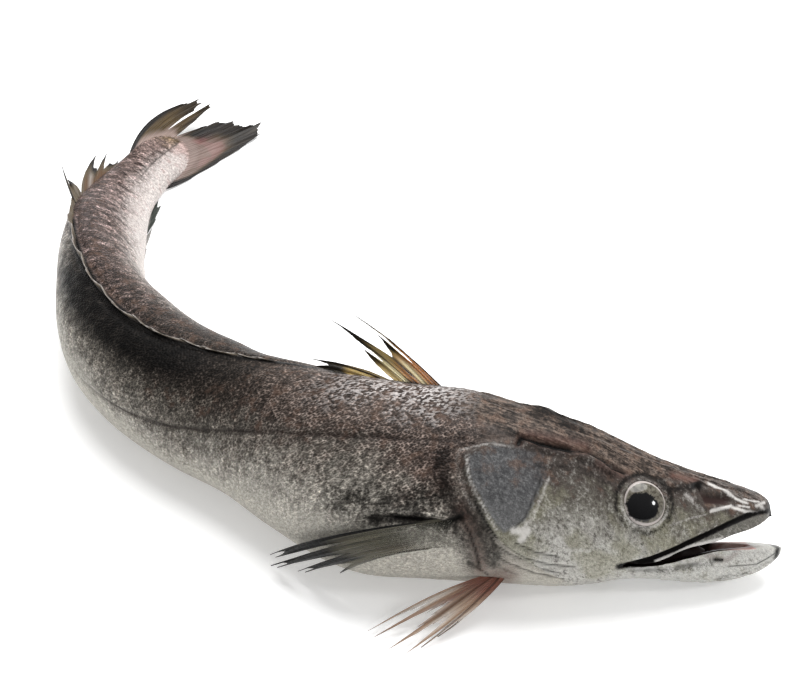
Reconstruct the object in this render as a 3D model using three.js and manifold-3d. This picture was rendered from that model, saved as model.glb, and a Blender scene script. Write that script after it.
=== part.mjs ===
// A whole raw hake, curled on a flat surface with its belly down and its mouth a little open.
// Millimetres, +Z up, the head towards +X, the surface it lies on at z = 0.
//
// The fish is first made straight: every place on it is given as `along` (behind the front of
// the head), `left` (towards its left flank) and `up` (towards its back), measured from a line
// through the middle of its body. That straight fish is then bent along its backbone.

import * as THREE from 'three';
import Module from 'manifold-3d';

const wasm = await Module();
wasm.setup();

// ---------------------------------------------------------------- driving dimensions

const SNOUT_X = 113; // the head's front, before the whole is moved to stand over the origin
const SNOUT_Y = -116;

const SINK = 1; // how much of the soft belly is pressed flat by the surface
const THROAT = 60; // the head lifts off the surface ahead of this place
const CHIN_LIFT = 0.16; // millimetres of lift for each millimetre ahead of the throat
const TAIL_ROOT = 360; // from here on the tail lies at one height

// Turn of the backbone from straight back, and lean of the back, in degrees.
const TURN = [[0, 0], [54, 4], [104, 12], [154, 40], [192, 40], [231, 59], [270, 82], [308, 91], [346, 106], [385, 123]];
const LEAN = [[0, -35], [104, -43], [173, -8], [212, 9], [250, 15], [289, 32], [327, 52], [385, 66], [420, 84]];

// Sections of the fish: along, top, bottom, half width, height of the widest place, squareness
// (2 is an ellipse, more is boxier).
const BODY = [
  [2, 11.4, -3.4, 2, 6, 2.4],
  [3, 12.8, -5.4, 4.4, 6, 2.4],
  [5, 14, -8, 7, 5.5, 2.4],
  [9, 15.3, -11.2, 9.8, 4.5, 2.3],
  [14, 16.3, -13.6, 11.8, 3.5, 2.3],
  [20, 17.2, -15, 13.4, 2.5, 2.3],
  [28, 18.5, -15.6, 15.4, 1.5, 2.3],
  [36, 20.2, -16, 17.2, 0, 2.3],
  [44, 22.2, -17.4, 18.8, -1, 2.2],
  [52, 24.8, -20, 20.2, -1.5, 2.1],
  [64, 28, -22.8, 21.8, -2, 2.1],
  [80, 30, -24.6, 23.8, -2, 2.1],
  [100, 31.6, -27.4, 25, -2, 2.1],
  [121, 29.4, -31, 24.2, -2, 2.1],
  [154, 26.4, -26.6, 21.2, -2, 2.1],
  [175, 25, -21.8, 20.8, -1, 2.1],
  [192, 24, -21.4, 21.8, 0, 2.1],
  [231, 21.6, -20.2, 20.8, 0, 2.1],
  [270, 19.4, -19, 14.8, 0, 2.1],
  [308, 16.4, -16, 10.2, 0, 2.1],
  [358, 10.2, -9.4, 4.6, 0, 2],
  [372, 9.4, -9.8, 3.4, 0, 2],
  [381, 7, -7.8, 2.2, 0, 2],
  [385, 3.6, -4.4, 1.2, 0, 2],
];
const BODY_SIDES = 32;
const SNOUT_END = 9; // the rings are close together ahead of this place
const HEAD_END = 100; // and far apart behind this one
const SNOUT_STEP = 1.7;
const HEAD_STEP = 4;
const TRUNK_STEP = 6.4;

const JAW_REACH = 6; // the lower jaw reaches this far past the snout
const JAW_FADE = 16; // the reach is gone this far behind the snout
const JAW_TOP = 3; // and at twice this height above the middle line

// The gap of the mouth on the flanks: the free edge of the upper lip and the rim of the jaw.
const LIP_EDGE = [[-6, 8.4], [2, 7.8], [6, 5.6], [10, 3.6], [14.5, 1.6], [20, 0.6], [26, -1.8], [36, -8.4], [46, -12.8]];
const JAW_RIM = [[-6, -0.8], [2, -1.4], [10, -2.4], [18, -3.8], [26, -6.9], [36, -11], [46, -13.4]];

// The hollow of the mouth, between the palate and the floor, in the measures of the body.
const MOUTH = [
  [4, 7.4, 0, 3.4, 3, 2],
  [9, 7.2, -4, 6, 2, 2],
  [16, 6, -7, 8.4, 0, 2],
  [26, 2.6, -10, 10.4, -3, 2],
  [36, -2.6, -13, 11.4, -7, 2],
  [46, -8, -15, 9, -12, 2],
  [52, -11, -13, 3, -12, 2],
];
const MOUTH_SIDES = 16;
const MOUTH_STEP = 5;

const EYE_ALONG = 43.2;
const EYE_UP = 6.9;
const EYE_RADIUS = 6.9;
const EYE_BULGE = 3.4; // half the thickness of the eyeball's lens shape
const EYE_INSET = 1.3; // how far its middle lies under the skin
const SOCKET_GAP = 0.35;

// The rear edge of the gill cover, and the front edge where it runs into the cheek.
const GILL_REAR = [[-20, 62], [-18.5, 68], [-15, 77.5], [-9, 85.5], [-2.8, 90.5], [3.6, 95], [10, 97.5], [15, 93], [18.5, 83]];
const GILL_FRONT = [[-20, 55], [-9, 64], [4.8, 70], [18.5, 75]];
const GILL_STEP = 1.1; // the cover's free edge stands this far off the flank
const GILL_DEPTH = 1.4; // and reaches this far into it
const GILL_SINK = 0.2; // the front of the cover lies this far under the skin
const GILL_RISE = 1.5; // how quickly the cover rises towards its free edge

// The upper lip is a band between this groove and its free edge.
const LIP_GROOVE = [[6, 9.2], [10, 8.4], [18, 4.4], [26, 0.2], [34, -4.8], [41, -9.6]];
const LIP_TUCK = 1; // the band is made this far past its free edge, where the mouth is cut
const LIP_STEP = 0.5; // the band stands this far off the snout
const LIP_SINK = 0.1; // its rear end runs this far under the skin
const LIP_DEPTH = 1;
const LIP_RISE = 3; // how quickly the band rises from its rear end

const RAY_HALF = 0.62; // half thickness of a fin ray at its root
const WEB_HALF = 0.3; // half thickness of the skin between the rays
const FIN_TAPER = 0.55; // share of the thickness lost between root and tip
const FIN_REST = 0.15; // a fin that lies down clears the surface by this much
const SETTLE_EASE = 0.6; // how gently a fin bends up where it meets the surface

// The folded second dorsal fin and the anal fin show as low fringes along the back and belly.
const FRINGE_START = 156;
const FRINGE_END = 306;
const FRINGE_RAYS = 15;
const FRINGE_LOW = 1.2; // how far its rays stand off the back at the front
const FRINGE_HIGH = 3.6; // and at the rear
const ANAL_START = 205;
const ANAL_END = 322;
const ANAL_RAYS = 10;
const ANAL_HEIGHT = 2;
const FRINGE_SLANT = 12; // how far behind its root the tip of such a ray is
const FRINGE_ROOT = 1.5; // how deep the rays are rooted

const SPINE_TWIST_SPREAD = 20; // changes of turn and lean are spread over this length
const SPINE_HEIGHT_SPREAD = 24;
const MERGE = 0.05; // triangles closer to flat than this are merged

// ---------------------------------------------------------------- curves and frames

// A smooth curve through [place, value] pairs that never overshoots them.
function curveThrough(points) {
  const last = points.length - 1;
  const gap = [];
  const rise = [];
  for (let i = 0; i < last; i += 1) {
    gap.push(points[i + 1][0] - points[i][0]);
    rise.push((points[i + 1][1] - points[i][1]) / gap[i]);
  }
  const slope = [rise[0]];
  for (let i = 1; i < last; i += 1) {
    const before = 2 * gap[i] + gap[i - 1];
    const after = gap[i] + 2 * gap[i - 1];
    const turns = rise[i - 1] * rise[i] <= 0;
    slope.push(turns ? 0 : (before + after) / (before / rise[i - 1] + after / rise[i]));
  }
  slope.push(rise[last - 1]);
  return (place) => {
    const at = THREE.MathUtils.clamp(place, points[0][0], points[last][0]);
    let i = 0;
    while (i < last - 1 && at > points[i + 1][0]) {
      i += 1;
    }
    const t = (at - points[i][0]) / gap[i];
    const rest = 1 - t;
    return (
      points[i][1] * rest * rest * (1 + 2 * t) +
      points[i + 1][1] * t * t * (3 - 2 * t) +
      gap[i] * t * rest * (slope[i] * rest - slope[i + 1] * t)
    );
  };
}

// The same curve with its changes of slope spread over a length.
function softened(curve, length) {
  const weights = [1, 4, 6, 4, 1];
  const total = 16;
  return (at) =>
    weights.reduce((sum, weight, i) => sum + (weight / total) * curve(at + ((i - 2) * length) / 2), 0);
}

// The measures of a list of sections, as a function of `along`.
function sectionsOf(rows) {
  const column = (k) => curveThrough(rows.map((row) => [row[0], row[k]]));
  const [top, bottom, half, middle, squareness] = [1, 2, 3, 4, 5].map(column);
  return (along) => ({
    top: top(along),
    bottom: bottom(along),
    half: half(along),
    middle: middle(along),
    squareness: squareness(along),
  });
}

// A point of a section at an angle from its left side.
function sectionPoint(section, angle) {
  const across = Math.cos(angle);
  const high = Math.sin(angle);
  const power = 2 / section.squareness;
  const reach = high > 0 ? section.top - section.middle : section.middle - section.bottom;
  return {
    left: section.half * Math.sign(across) * Math.abs(across) ** power,
    up: section.middle + reach * Math.sign(high) * Math.abs(high) ** power,
  };
}

const bodySection = sectionsOf(BODY);
const turnAt = softened(curveThrough(TURN), SPINE_TWIST_SPREAD);
const leanAt = softened(curveThrough(LEAN), SPINE_TWIST_SPREAD);

// Height of the body's middle line: its own reach below that line, less what is pressed flat.
function reachBelow(along) {
  const section = bodySection(along);
  const lean = THREE.MathUtils.degToRad(leanAt(along));
  let reach = 0;
  for (let angle = 0; angle < 2 * Math.PI; angle += Math.PI / 90) {
    const point = sectionPoint(section, angle);
    reach = Math.max(reach, -(point.left * Math.sin(lean) + point.up * Math.cos(lean)));
  }
  return reach;
}

const throatReach = reachBelow(THROAT);

function heightAt(along) {
  if (along >= THROAT) {
    return reachBelow(Math.min(along, TAIL_ROOT)) - SINK;
  }
  return throatReach - SINK - (THROAT - along) * CHIN_LIFT;
}

// Frames along the backbone, one each millimetre: place, left and up directions.
const SPINE_START = -10;
const SPINE_END = 450;
const spine = [];
{
  const softHeight = softened(heightAt, SPINE_HEIGHT_SPREAD);
  let x = SNOUT_X - SPINE_START;
  let y = SNOUT_Y;
  for (let along = SPINE_START; along <= SPINE_END; along += 1) {
    const turn = THREE.MathUtils.degToRad(turnAt(along));
    const lean = THREE.MathUtils.degToRad(leanAt(along));
    const z = softHeight(along);
    const climb = softHeight(along + 0.5) - softHeight(along - 0.5);
    const level = Math.sqrt(1 - climb * climb);
    const back = new THREE.Vector3(-Math.cos(turn) * level, Math.sin(turn) * level, climb);
    const flat = new THREE.Vector3().crossVectors(back, new THREE.Vector3(0, 0, 1)).normalize();
    const rise = new THREE.Vector3().crossVectors(flat, back);
    const left = flat.clone().multiplyScalar(Math.cos(lean)).addScaledVector(rise, Math.sin(lean));
    const up = rise.clone().multiplyScalar(Math.cos(lean)).addScaledVector(flat, -Math.sin(lean));
    spine.push({ place: new THREE.Vector3(x, y, z), left, up });
    x += back.x;
    y += back.y;
  }
}

// The bent fish's place for a place on the straight one, held as (-along, left, up).
function bend(point) {
  const along = THREE.MathUtils.clamp(-point.x, SPINE_START, SPINE_END - 1.001) - SPINE_START;
  const i = Math.floor(along);
  const t = along - i;
  const mixed = (key) => spine[i][key].clone().lerp(spine[i + 1][key], t);
  return mixed('place').addScaledVector(mixed('left'), point.y).addScaledVector(mixed('up'), point.z);
}

const straight = (along, left, up) => new THREE.Vector3(-along, left, up);

// ---------------------------------------------------------------- solids

// A solid from points and triangles, turned to face out.
function solidFrom(points, triangles) {
  let volume = 0;
  for (const [a, b, c] of triangles) {
    volume += points[a].dot(new THREE.Vector3().crossVectors(points[b], points[c]));
  }
  const turned = volume < 0 ? triangles.map(([a, b, c]) => [a, c, b]) : triangles;
  return new wasm.Manifold(
    new wasm.Mesh({
      numProp: 3,
      vertProperties: new Float32Array(points.flatMap((p) => [p.x, p.y, p.z])),
      triVerts: new Uint32Array(turned.flat()),
    }),
  );
}

// The points of a solid, moved one by one.
function reshaped(solid, move) {
  const mesh = solid.getMesh();
  const points = [];
  for (let i = 0; i < mesh.numVert; i += 1) {
    points.push(move(new THREE.Vector3(...mesh.vertProperties.subarray(i * mesh.numProp, i * mesh.numProp + 3))));
  }
  const triangles = [];
  for (let i = 0; i < mesh.numTri; i += 1) {
    triangles.push([...mesh.triVerts.subarray(3 * i, 3 * i + 3)]);
  }
  return solidFrom(points, triangles);
}

// A closed skin over rings of points, with a point in the middle of each end.
function loft(rings) {
  const sides = rings[0].length;
  const points = rings.flat();
  const triangles = [];
  for (let r = 0; r < rings.length - 1; r += 1) {
    for (let k = 0; k < sides; k += 1) {
      const a = r * sides + k;
      const b = r * sides + ((k + 1) % sides);
      triangles.push([a, b, b + sides], [a, b + sides, a + sides]);
    }
  }
  for (const r of [0, rings.length - 1]) {
    const pole = new THREE.Vector3();
    rings[r].forEach((p) => pole.addScaledVector(p, 1 / sides));
    points.push(pole);
    for (let k = 0; k < sides; k += 1) {
      const a = r * sides + k;
      const b = r * sides + ((k + 1) % sides);
      triangles.push(r === 0 ? [points.length - 1, b, a] : [points.length - 1, a, b]);
    }
  }
  return solidFrom(points, triangles);
}

// A solid lofted through sections at the given places.
function loftSections(rows, places, sides, shiftAt = () => 0) {
  const sectionAt = sectionsOf(rows);
  const rings = places.map((along) => {
    const section = sectionAt(along);
    return Array.from({ length: sides }, (_, k) => {
      const point = sectionPoint(section, (2 * Math.PI * k) / sides);
      return straight(along + shiftAt(along, point.up), point.left, point.up);
    });
  });
  return loft(rings);
}

// Places from one end of a list of sections to the other, with the step given by a rule.
function placesAlong(rows, stepAt) {
  const end = rows[rows.length - 1][0];
  const places = [rows[0][0]];
  while (places[places.length - 1] + stepAt(places[places.length - 1]) < end - 0.5) {
    places.push(places[places.length - 1] + stepAt(places[places.length - 1]));
  }
  return [...places, end];
}

// A thin closed solid over a grid of points, with a half thickness at each.
function thickened(grid, halves) {
  const columns = grid.length;
  const rows = grid[0].length;
  const top = [];
  const under = [];
  for (let i = 0; i < columns; i += 1) {
    for (let j = 0; j < rows; j += 1) {
      const across = grid[Math.min(i + 1, columns - 1)][j].clone().sub(grid[Math.max(i - 1, 0)][j]);
      const down = grid[i][Math.min(j + 1, rows - 1)].clone().sub(grid[i][Math.max(j - 1, 0)]);
      const normal = across.cross(down).normalize();
      top.push(grid[i][j].clone().addScaledVector(normal, halves[i][j]));
      under.push(grid[i][j].clone().addScaledVector(normal, -halves[i][j]));
    }
  }
  const count = columns * rows;
  const triangles = [];
  const at = (i, j) => i * rows + j;
  for (let i = 0; i < columns - 1; i += 1) {
    for (let j = 0; j < rows - 1; j += 1) {
      const [a, b, c, d] = [at(i, j), at(i + 1, j), at(i + 1, j + 1), at(i, j + 1)];
      triangles.push([a, b, c], [a, c, d], [count + a, count + c, count + b], [count + a, count + d, count + c]);
    }
  }
  const rim = [];
  for (let i = 0; i < columns - 1; i += 1) {
    rim.push([at(i + 1, 0), at(i, 0)], [at(i, rows - 1), at(i + 1, rows - 1)]);
  }
  for (let j = 0; j < rows - 1; j += 1) {
    rim.push([at(0, j), at(0, j + 1)], [at(columns - 1, j + 1), at(columns - 1, j)]);
  }
  for (const [a, b] of rim) {
    triangles.push([a, b, count + b], [a, count + b, count + a]);
  }
  return solidFrom([...top, ...under], triangles);
}

// ---------------------------------------------------------------- head and body

// The skin's distance from the middle plane, at a place and height on the flank.
function flankAt(along, up) {
  const section = bodySection(along);
  const reach = up > section.middle ? section.top - section.middle : section.middle - section.bottom;
  const share = Math.min(Math.abs(up - section.middle) / reach, 0.999);
  return section.half * (1 - share ** section.squareness) ** (1 / section.squareness);
}

// A plate laid on one flank over a grid of [along, up] places, proud of the skin by `step`.
function flankPlate(side, grid, stepAt, depth) {
  const outer = grid.map((column, i) =>
    column.map(([along, up], j) => {
      const step = stepAt(i / (grid.length - 1), j / (column.length - 1));
      return straight(along, side * (flankAt(along, up) + (step - depth) / 2), up);
    }),
  );
  const halves = grid.map((column, i) =>
    column.map((_, j) => (stepAt(i / (grid.length - 1), j / (column.length - 1)) + depth) / 2),
  );
  return thickened(outer, halves);
}

function gillCover(side) {
  const rear = curveThrough(GILL_REAR);
  const front = curveThrough(GILL_FRONT);
  const lowest = GILL_REAR[0][0];
  const highest = GILL_REAR[GILL_REAR.length - 1][0];
  const rows = 11;
  const columns = 7;
  const grid = Array.from({ length: columns + 1 }, (_, i) =>
    Array.from({ length: rows + 1 }, (_, j) => {
      const up = THREE.MathUtils.lerp(lowest, highest, j / rows);
      return [THREE.MathUtils.lerp(front(up), rear(up), i / columns), up];
    }),
  );
  const stepAt = (back) => (GILL_STEP + GILL_SINK) * Math.min(1, GILL_RISE * back) - GILL_SINK;
  return flankPlate(side, grid, stepAt, GILL_DEPTH);
}

function upperLip(side) {
  const groove = curveThrough(LIP_GROOVE);
  const edge = curveThrough(LIP_EDGE);
  const start = LIP_GROOVE[0][0];
  const end = LIP_GROOVE[LIP_GROOVE.length - 1][0];
  const columns = 9;
  const grid = Array.from({ length: columns + 1 }, (_, i) => {
    const along = THREE.MathUtils.lerp(start, end, i / columns);
    return [0, 0.5, 1].map((t) => [along, THREE.MathUtils.lerp(groove(along), edge(along) - LIP_TUCK, t)]);
  });
  const stepAt = (back) => (LIP_STEP + LIP_SINK) * Math.min(1, LIP_RISE * (1 - back)) - LIP_SINK;
  return flankPlate(side, grid, stepAt, LIP_DEPTH);
}

// The middle of an eye on the straight fish, and the way it looks.
function eyeSeat(side) {
  const step = 2;
  const at = (along, up) => straight(along, side * flankAt(along, up), up);
  const middle = at(EYE_ALONG, EYE_UP);
  const forward = at(EYE_ALONG - step, EYE_UP).sub(at(EYE_ALONG + step, EYE_UP));
  const upward = at(EYE_ALONG, EYE_UP + step).sub(at(EYE_ALONG, EYE_UP - step));
  const out = forward.cross(upward).normalize();
  if (out.y * side < 0) {
    out.negate();
  }
  return { middle: middle.addScaledVector(out, -EYE_INSET), out };
}

// An eyeball: a round lens shape seen from its side, grown by a gap where it is a socket.
function eyeLens(side, growth) {
  const { middle, out } = eyeSeat(side);
  const turns = 24;
  const bands = 10;
  const tilt = new THREE.Quaternion().setFromUnitVectors(new THREE.Vector3(0, 0, 1), out);
  const rings = Array.from({ length: bands - 1 }, (_, i) => {
    const polar = (Math.PI * (i + 1)) / bands;
    const width = (EYE_RADIUS + growth) * Math.sin(polar);
    const rise = (EYE_BULGE + growth) * Math.cos(polar);
    return Array.from({ length: turns }, (_, k) => {
      const angle = (2 * Math.PI * k) / turns;
      return new THREE.Vector3(width * Math.cos(angle), width * Math.sin(angle), rise)
        .applyQuaternion(tilt)
        .add(middle);
    });
  });
  return loft(rings);
}

// The chin is drawn forward, past the snout.
function chinShift(along, up) {
  const low = 1 - THREE.MathUtils.smoothstep(up, 0, 2 * JAW_TOP);
  return -JAW_REACH * low * Math.max(0, 1 - along / JAW_FADE);
}

// The gap between the lips, right through the head.
function mouthGap() {
  const lip = curveThrough(LIP_EDGE);
  const rim = curveThrough(JAW_RIM);
  const start = LIP_EDGE[0][0];
  const end = LIP_EDGE[LIP_EDGE.length - 1][0];
  const steps = 13;
  const far = 40;
  const rings = Array.from({ length: steps + 1 }, (_, i) => {
    const along = THREE.MathUtils.lerp(start, end, i / steps);
    return [
      straight(along, -far, rim(along)),
      straight(along, far, rim(along)),
      straight(along, far, lip(along)),
      straight(along, -far, lip(along)),
    ];
  });
  return loft(rings);
}

function bodyStep(along) {
  if (along < SNOUT_END) {
    return SNOUT_STEP;
  }
  return along < HEAD_END ? HEAD_STEP : TRUNK_STEP;
}
const bodyPlaces = placesAlong(BODY, bodyStep);
const mouthPlaces = placesAlong(MOUTH, () => MOUTH_STEP);

let straightFish = loftSections(BODY, bodyPlaces, BODY_SIDES, chinShift);
for (const side of [-1, 1]) {
  straightFish = straightFish.add(gillCover(side)).add(upperLip(side)).subtract(eyeLens(side, SOCKET_GAP));
}
straightFish = straightFish
  .subtract(mouthGap())
  .subtract(loftSections(MOUTH, mouthPlaces, MOUTH_SIDES));

// ---------------------------------------------------------------- fins

// A ray: a root, a tip and a middle control point between which it bows.
const rayAt = (ray, t) =>
  ray.root
    .clone()
    .multiplyScalar((1 - t) * (1 - t))
    .addScaledVector(ray.middle, 2 * t * (1 - t))
    .addScaledVector(ray.tip, t * t);

// A height eased up so that it never goes below a floor.
function settled(height, floor) {
  const above = (height - floor) / 2;
  return floor + above + Math.sqrt(above * above + SETTLE_EASE * SETTLE_EASE);
}

// A fin: rays with skin between them, each skin reaching a share of its rays' length.
function fin(rays, webs, rows, place) {
  const grid = [];
  const halves = [];
  const column = (pathAt, share, half) => {
    grid.push([]);
    halves.push([]);
    for (let j = 0; j <= rows; j += 1) {
      const t = (share * j) / rows;
      const thick = half * (1 - FIN_TAPER * t);
      const point = place(pathAt(t));
      point.z = settled(point.z, thick + FIN_REST);
      grid[grid.length - 1].push(point);
      halves[halves.length - 1].push(thick);
    }
  };
  rays.forEach((ray, i) => {
    column((t) => rayAt(ray, t), 1, RAY_HALF);
    if (i < rays.length - 1) {
      column((t) => rayAt(ray, t).lerp(rayAt(rays[i + 1], t), 0.5), webs[i], WEB_HALF);
    }
  });
  return thickened(grid, halves);
}

// A ray of a fin in the middle plane, from [along, up] pairs; `bow` lifts its middle.
function medianRay([rootAlong, rootUp], [tipAlong, tipUp], bow, sway) {
  return {
    root: straight(rootAlong, 0, rootUp),
    middle: straight((rootAlong + tipAlong) / 2, sway / 2, (rootUp + tipUp) / 2 + bow),
    tip: straight(tipAlong, sway, tipUp),
  };
}

const firstDorsal = fin(
  [
    medianRay([107.5, 29], [145, 47.2], 1.2, 0),
    medianRay([111, 28.5], [133.5, 41.8], 0.8, 0.4),
    medianRay([116, 28], [146, 42.5], 0.4, 1),
    medianRay([119, 27.5], [137, 35.8], 0, 1.4),
    medianRay([122, 27], [150, 29.6], 2, -1.6),
    medianRay([126, 26.5], [148, 27.8], 1.6, -2.4),
    medianRay([130, 26], [141, 26.6], 1, -3),
  ],
  [0.45, 0.6, 0.55, 0.12, 0.85, 0.9],
  6,
  bend,
);

// The second dorsal fin lies folded back in its groove, so only a low fringe shows.
const secondDorsal = fin(
  Array.from({ length: FRINGE_RAYS }, (_, i) => {
    const along = THREE.MathUtils.lerp(FRINGE_START, FRINGE_END, i / (FRINGE_RAYS - 1));
    const height = THREE.MathUtils.lerp(FRINGE_LOW, FRINGE_HIGH, i / (FRINGE_RAYS - 1));
    const root = [along, bodySection(along).top - FRINGE_ROOT];
    const tip = [along + FRINGE_SLANT, bodySection(along + FRINGE_SLANT).top + height];
    return medianRay(root, tip, 0.6, i % 2 ? 0.8 : -0.5);
  }),
  Array(FRINGE_RAYS - 1).fill(0.85),
  2,
  bend,
);

const dorsalLobes = fin(
  [
    medianRay([309, 14.5], [333, 27], 0.6, 0),
    medianRay([316, 14], [323, 21.5], 0, 0.5),
    medianRay([323, 12.5], [350, 18.2], 2.4, 0.8),
    medianRay([330, 11.5], [344, 15], 1.2, 0.4),
    medianRay([336, 11], [356.5, 16], 1, 0),
    medianRay([342, 10], [352, 12.6], 0.4, 0),
    medianRay([348, 9], [357, 10.8], 0.4, 0),
  ],
  [0.6, 0.2, 0.85, 0.6, 0.55, 0.8],
  5,
  bend,
);

const analFringe = fin(
  Array.from({ length: ANAL_RAYS }, (_, i) => {
    const along = THREE.MathUtils.lerp(ANAL_START, ANAL_END, i / (ANAL_RAYS - 1));
    const root = [along, bodySection(along).bottom + FRINGE_ROOT];
    const tip = [along + FRINGE_SLANT, bodySection(along + FRINGE_SLANT).bottom - ANAL_HEIGHT];
    return medianRay(root, tip, -0.6, i % 2 ? 0.6 : -0.4);
  }),
  Array(ANAL_RAYS - 1).fill(0.85),
  2,
  bend,
);

const analLobe = fin(
  [
    medianRay([322, -12.5], [332, -13.6], -0.4, 0),
    medianRay([327, -12], [341, -13.6], -0.6, 0),
    medianRay([333, -11], [350, -12], -0.6, 0),
    medianRay([339, -10], [352, -9.8], -0.2, 0),
  ],
  [0.85, 0.85, 0.8],
  4,
  bend,
);

const tailFin = fin(
  [
    medianRay([360, 8.5], [400, 12.2], 6.4, 0),
    medianRay([366, 8.5], [410, 9.4], 4.2, 0),
    medianRay([372, 8], [409.5, 7], 2.6, 0),
    medianRay([377, 7], [402, 6.4], 1.4, 0),
    medianRay([379, 6], [411, 4.8], 0.8, 0),
    medianRay([381, 5], [411.5, 3.2], 0.4, 0),
    medianRay([383, 3.6], [397, 2.8], 0.2, 0),
    medianRay([383.5, 2], [396, -0.8], 0.2, 0),
    medianRay([384, 0.8], [403, -3], 0, 0),
    medianRay([384, -0.8], [409, -7.6], 0, 0),
    medianRay([383.5, -2.4], [408.5, -10.4], 0, 0),
    medianRay([382, -4.4], [411, -13.6], 0, 0),
    medianRay([380, -6], [415.5, -16], 0, 0),
    medianRay([376, -7.6], [409.5, -19.4], -1.2, 0),
    medianRay([370, -8.6], [398, -18.6], -1.6, 0),
    medianRay([364, -8.6], [385, -17.2], -1.4, 0),
    medianRay([358, -8.4], [371, -14.4], -1, 0),
  ],
  [0.95, 0.95, 0.9, 0.25, 0.9, 0.85, 0.15, 0.95, 0.95, 0.9, 0.9, 0.9, 0.9, 0.95, 0.95, 0.95],
  7,
  bend,
);

// A ray of a paired fin: its root on the straight fish, the rest where it lies on the bent one.
const pairedRay = (root, middle, tip) => ({
  root: bend(straight(...root)),
  middle: new THREE.Vector3(...middle),
  tip: new THREE.Vector3(...tip),
});
const inPlace = (point) => point;

const rightPectoral = fin(
  [
    pairedRay([95, -22.5, -7.5], [-22, -137.5, 36], [-40.3, -115, 5.5]),
    pairedRay([94.5, -22.5, -9], [-20, -139.5, 34], [-40.2, -118, 4]),
    pairedRay([94, -22, -10.5], [-17, -140, 33], [-35, -120.5, 4]),
    pairedRay([93, -21.5, -12], [-12, -140.5, 32], [-30, -122.5, 5]),
    pairedRay([92, -21, -13.5], [-7, -140, 31], [-23, -122.5, 7]),
    pairedRay([91, -20.5, -15], [4, -138, 29], [-9, -133, 22]),
  ],
  [0.7, 0.8, 0.85, 0.9, 0.9],
  8,
  inPlace,
);

const leftPectoral = fin(
  [
    pairedRay([95, 22.5, -7.5], [-5, -80, 8], [-34, -70, 2]),
    pairedRay([94.5, 22.5, -9], [-6, -78, 6], [-36, -66, 1]),
    pairedRay([94, 22, -10.5], [-4, -76, 4], [-32, -62, 1]),
    pairedRay([93, 21.5, -12], [0, -75, 3], [-22, -61, 1]),
    pairedRay([92, 21, -13.5], [6, -76, 2], [-8, -64, 1]),
  ],
  [0.8, 0.85, 0.85, 0.9],
  7,
  inPlace,
);

const rightPelvic = fin(
  [
    pairedRay([84, -10, -22.5], [10, -136, 11], [-10, -144, 1]),
    pairedRay([83, -10, -22.5], [12, -138, 9], [-8, -146.5, 1]),
    pairedRay([82, -10, -22.5], [15, -141, 8], [-4, -152, 1]),
    pairedRay([81, -9.5, -22.5], [18, -143, 6], [1, -154, 1]),
    pairedRay([80, -9.5, -22.5], [20, -142, 6], [6, -151, 1]),
    pairedRay([79, -9, -22.5], [23, -140, 6], [11, -146.5, 1]),
  ],
  [0.75, 0.6, 0.7, 0.85, 0.9],
  7,
  inPlace,
);

const leftPelvic = fin(
  [
    pairedRay([84, 10, -20], [22, -86, 4], [4, -80, 1]),
    pairedRay([83, 10, -20], [24, -84, 3], [7, -76, 1]),
    pairedRay([82, 10, -20], [27, -83, 2], [12, -74, 1]),
    pairedRay([81, 10, -20], [31, -84, 1.6], [20, -75, 1]),
  ],
  [0.8, 0.8, 0.85],
  5,
  inPlace,
);

// ---------------------------------------------------------------- the whole

// Everything below the surface is pressed away, which leaves the belly a flat place to rest.
function aboveSurface() {
  const far = 400;
  const low = new THREE.BoxGeometry(far, far, far);
  const place = low.getAttribute('position');
  const corners = [];
  const known = new Map();
  const index = [];
  for (let i = 0; i < place.count; i += 1) {
    const corner = new THREE.Vector3().fromBufferAttribute(place, i).add(new THREE.Vector3(0, 0, far / 2));
    const key = corner.toArray().join();
    if (!known.has(key)) {
      known.set(key, corners.length);
      corners.push(corner);
    }
    index.push(known.get(key));
  }
  const faces = [...low.index.array].map((i) => index[i]);
  return solidFrom(corners, Array.from({ length: faces.length / 3 }, (_, i) => faces.slice(3 * i, 3 * i + 3)));
}

// The one body of a solid, without the specks that cutting leaves behind.
const bodyOf = (solid) => solid.decompose().sort((a, b) => b.volume() - a.volume())[0];

let fish = reshaped(bodyOf(straightFish), bend);
for (const part of [firstDorsal, secondDorsal, dorsalLobes, analFringe, analLobe, tailFin,
  rightPectoral, leftPectoral, rightPelvic, leftPelvic]) {
  fish = fish.add(part);
}
fish = bodyOf(fish.intersect(aboveSurface()).simplify(MERGE));

// The whole is moved so that the middle of its outline on the surface is the origin.
const outline = fish.boundingBox();
const middleX = (outline.min[0] + outline.max[0]) / 2;
const middleY = (outline.min[1] + outline.max[1]) / 2;

// ---------------------------------------------------------------- meshes

function meshOf(name, solid, material) {
  const data = solid.translate([-middleX, -middleY, 0]).getMesh();
  const geometry = new THREE.BufferGeometry();
  const places = new Float32Array(data.numVert * 3);
  for (let i = 0; i < data.numVert; i += 1) {
    places.set(data.vertProperties.subarray(i * data.numProp, i * data.numProp + 3), 3 * i);
  }
  geometry.setAttribute('position', new THREE.BufferAttribute(places, 3));
  geometry.setIndex(new THREE.BufferAttribute(data.triVerts, 1));
  geometry.computeVertexNormals();
  const mesh = new THREE.Mesh(geometry, material);
  mesh.name = name;
  return mesh;
}

const skin = new THREE.MeshStandardMaterial({ color: 0x77706a, roughness: 0.45, metalness: 0.1 });
const eye = new THREE.MeshStandardMaterial({ color: 0x8a857c, roughness: 0.12, metalness: 0 });

const group = new THREE.Group();
group.add(meshOf('fish', fish, skin));
group.add(meshOf('eye_right', reshaped(eyeLens(-1, 0), bend), eye));
group.add(meshOf('eye_left', reshaped(eyeLens(1, 0), bend), eye));

export default group;
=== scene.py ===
import math

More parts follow.
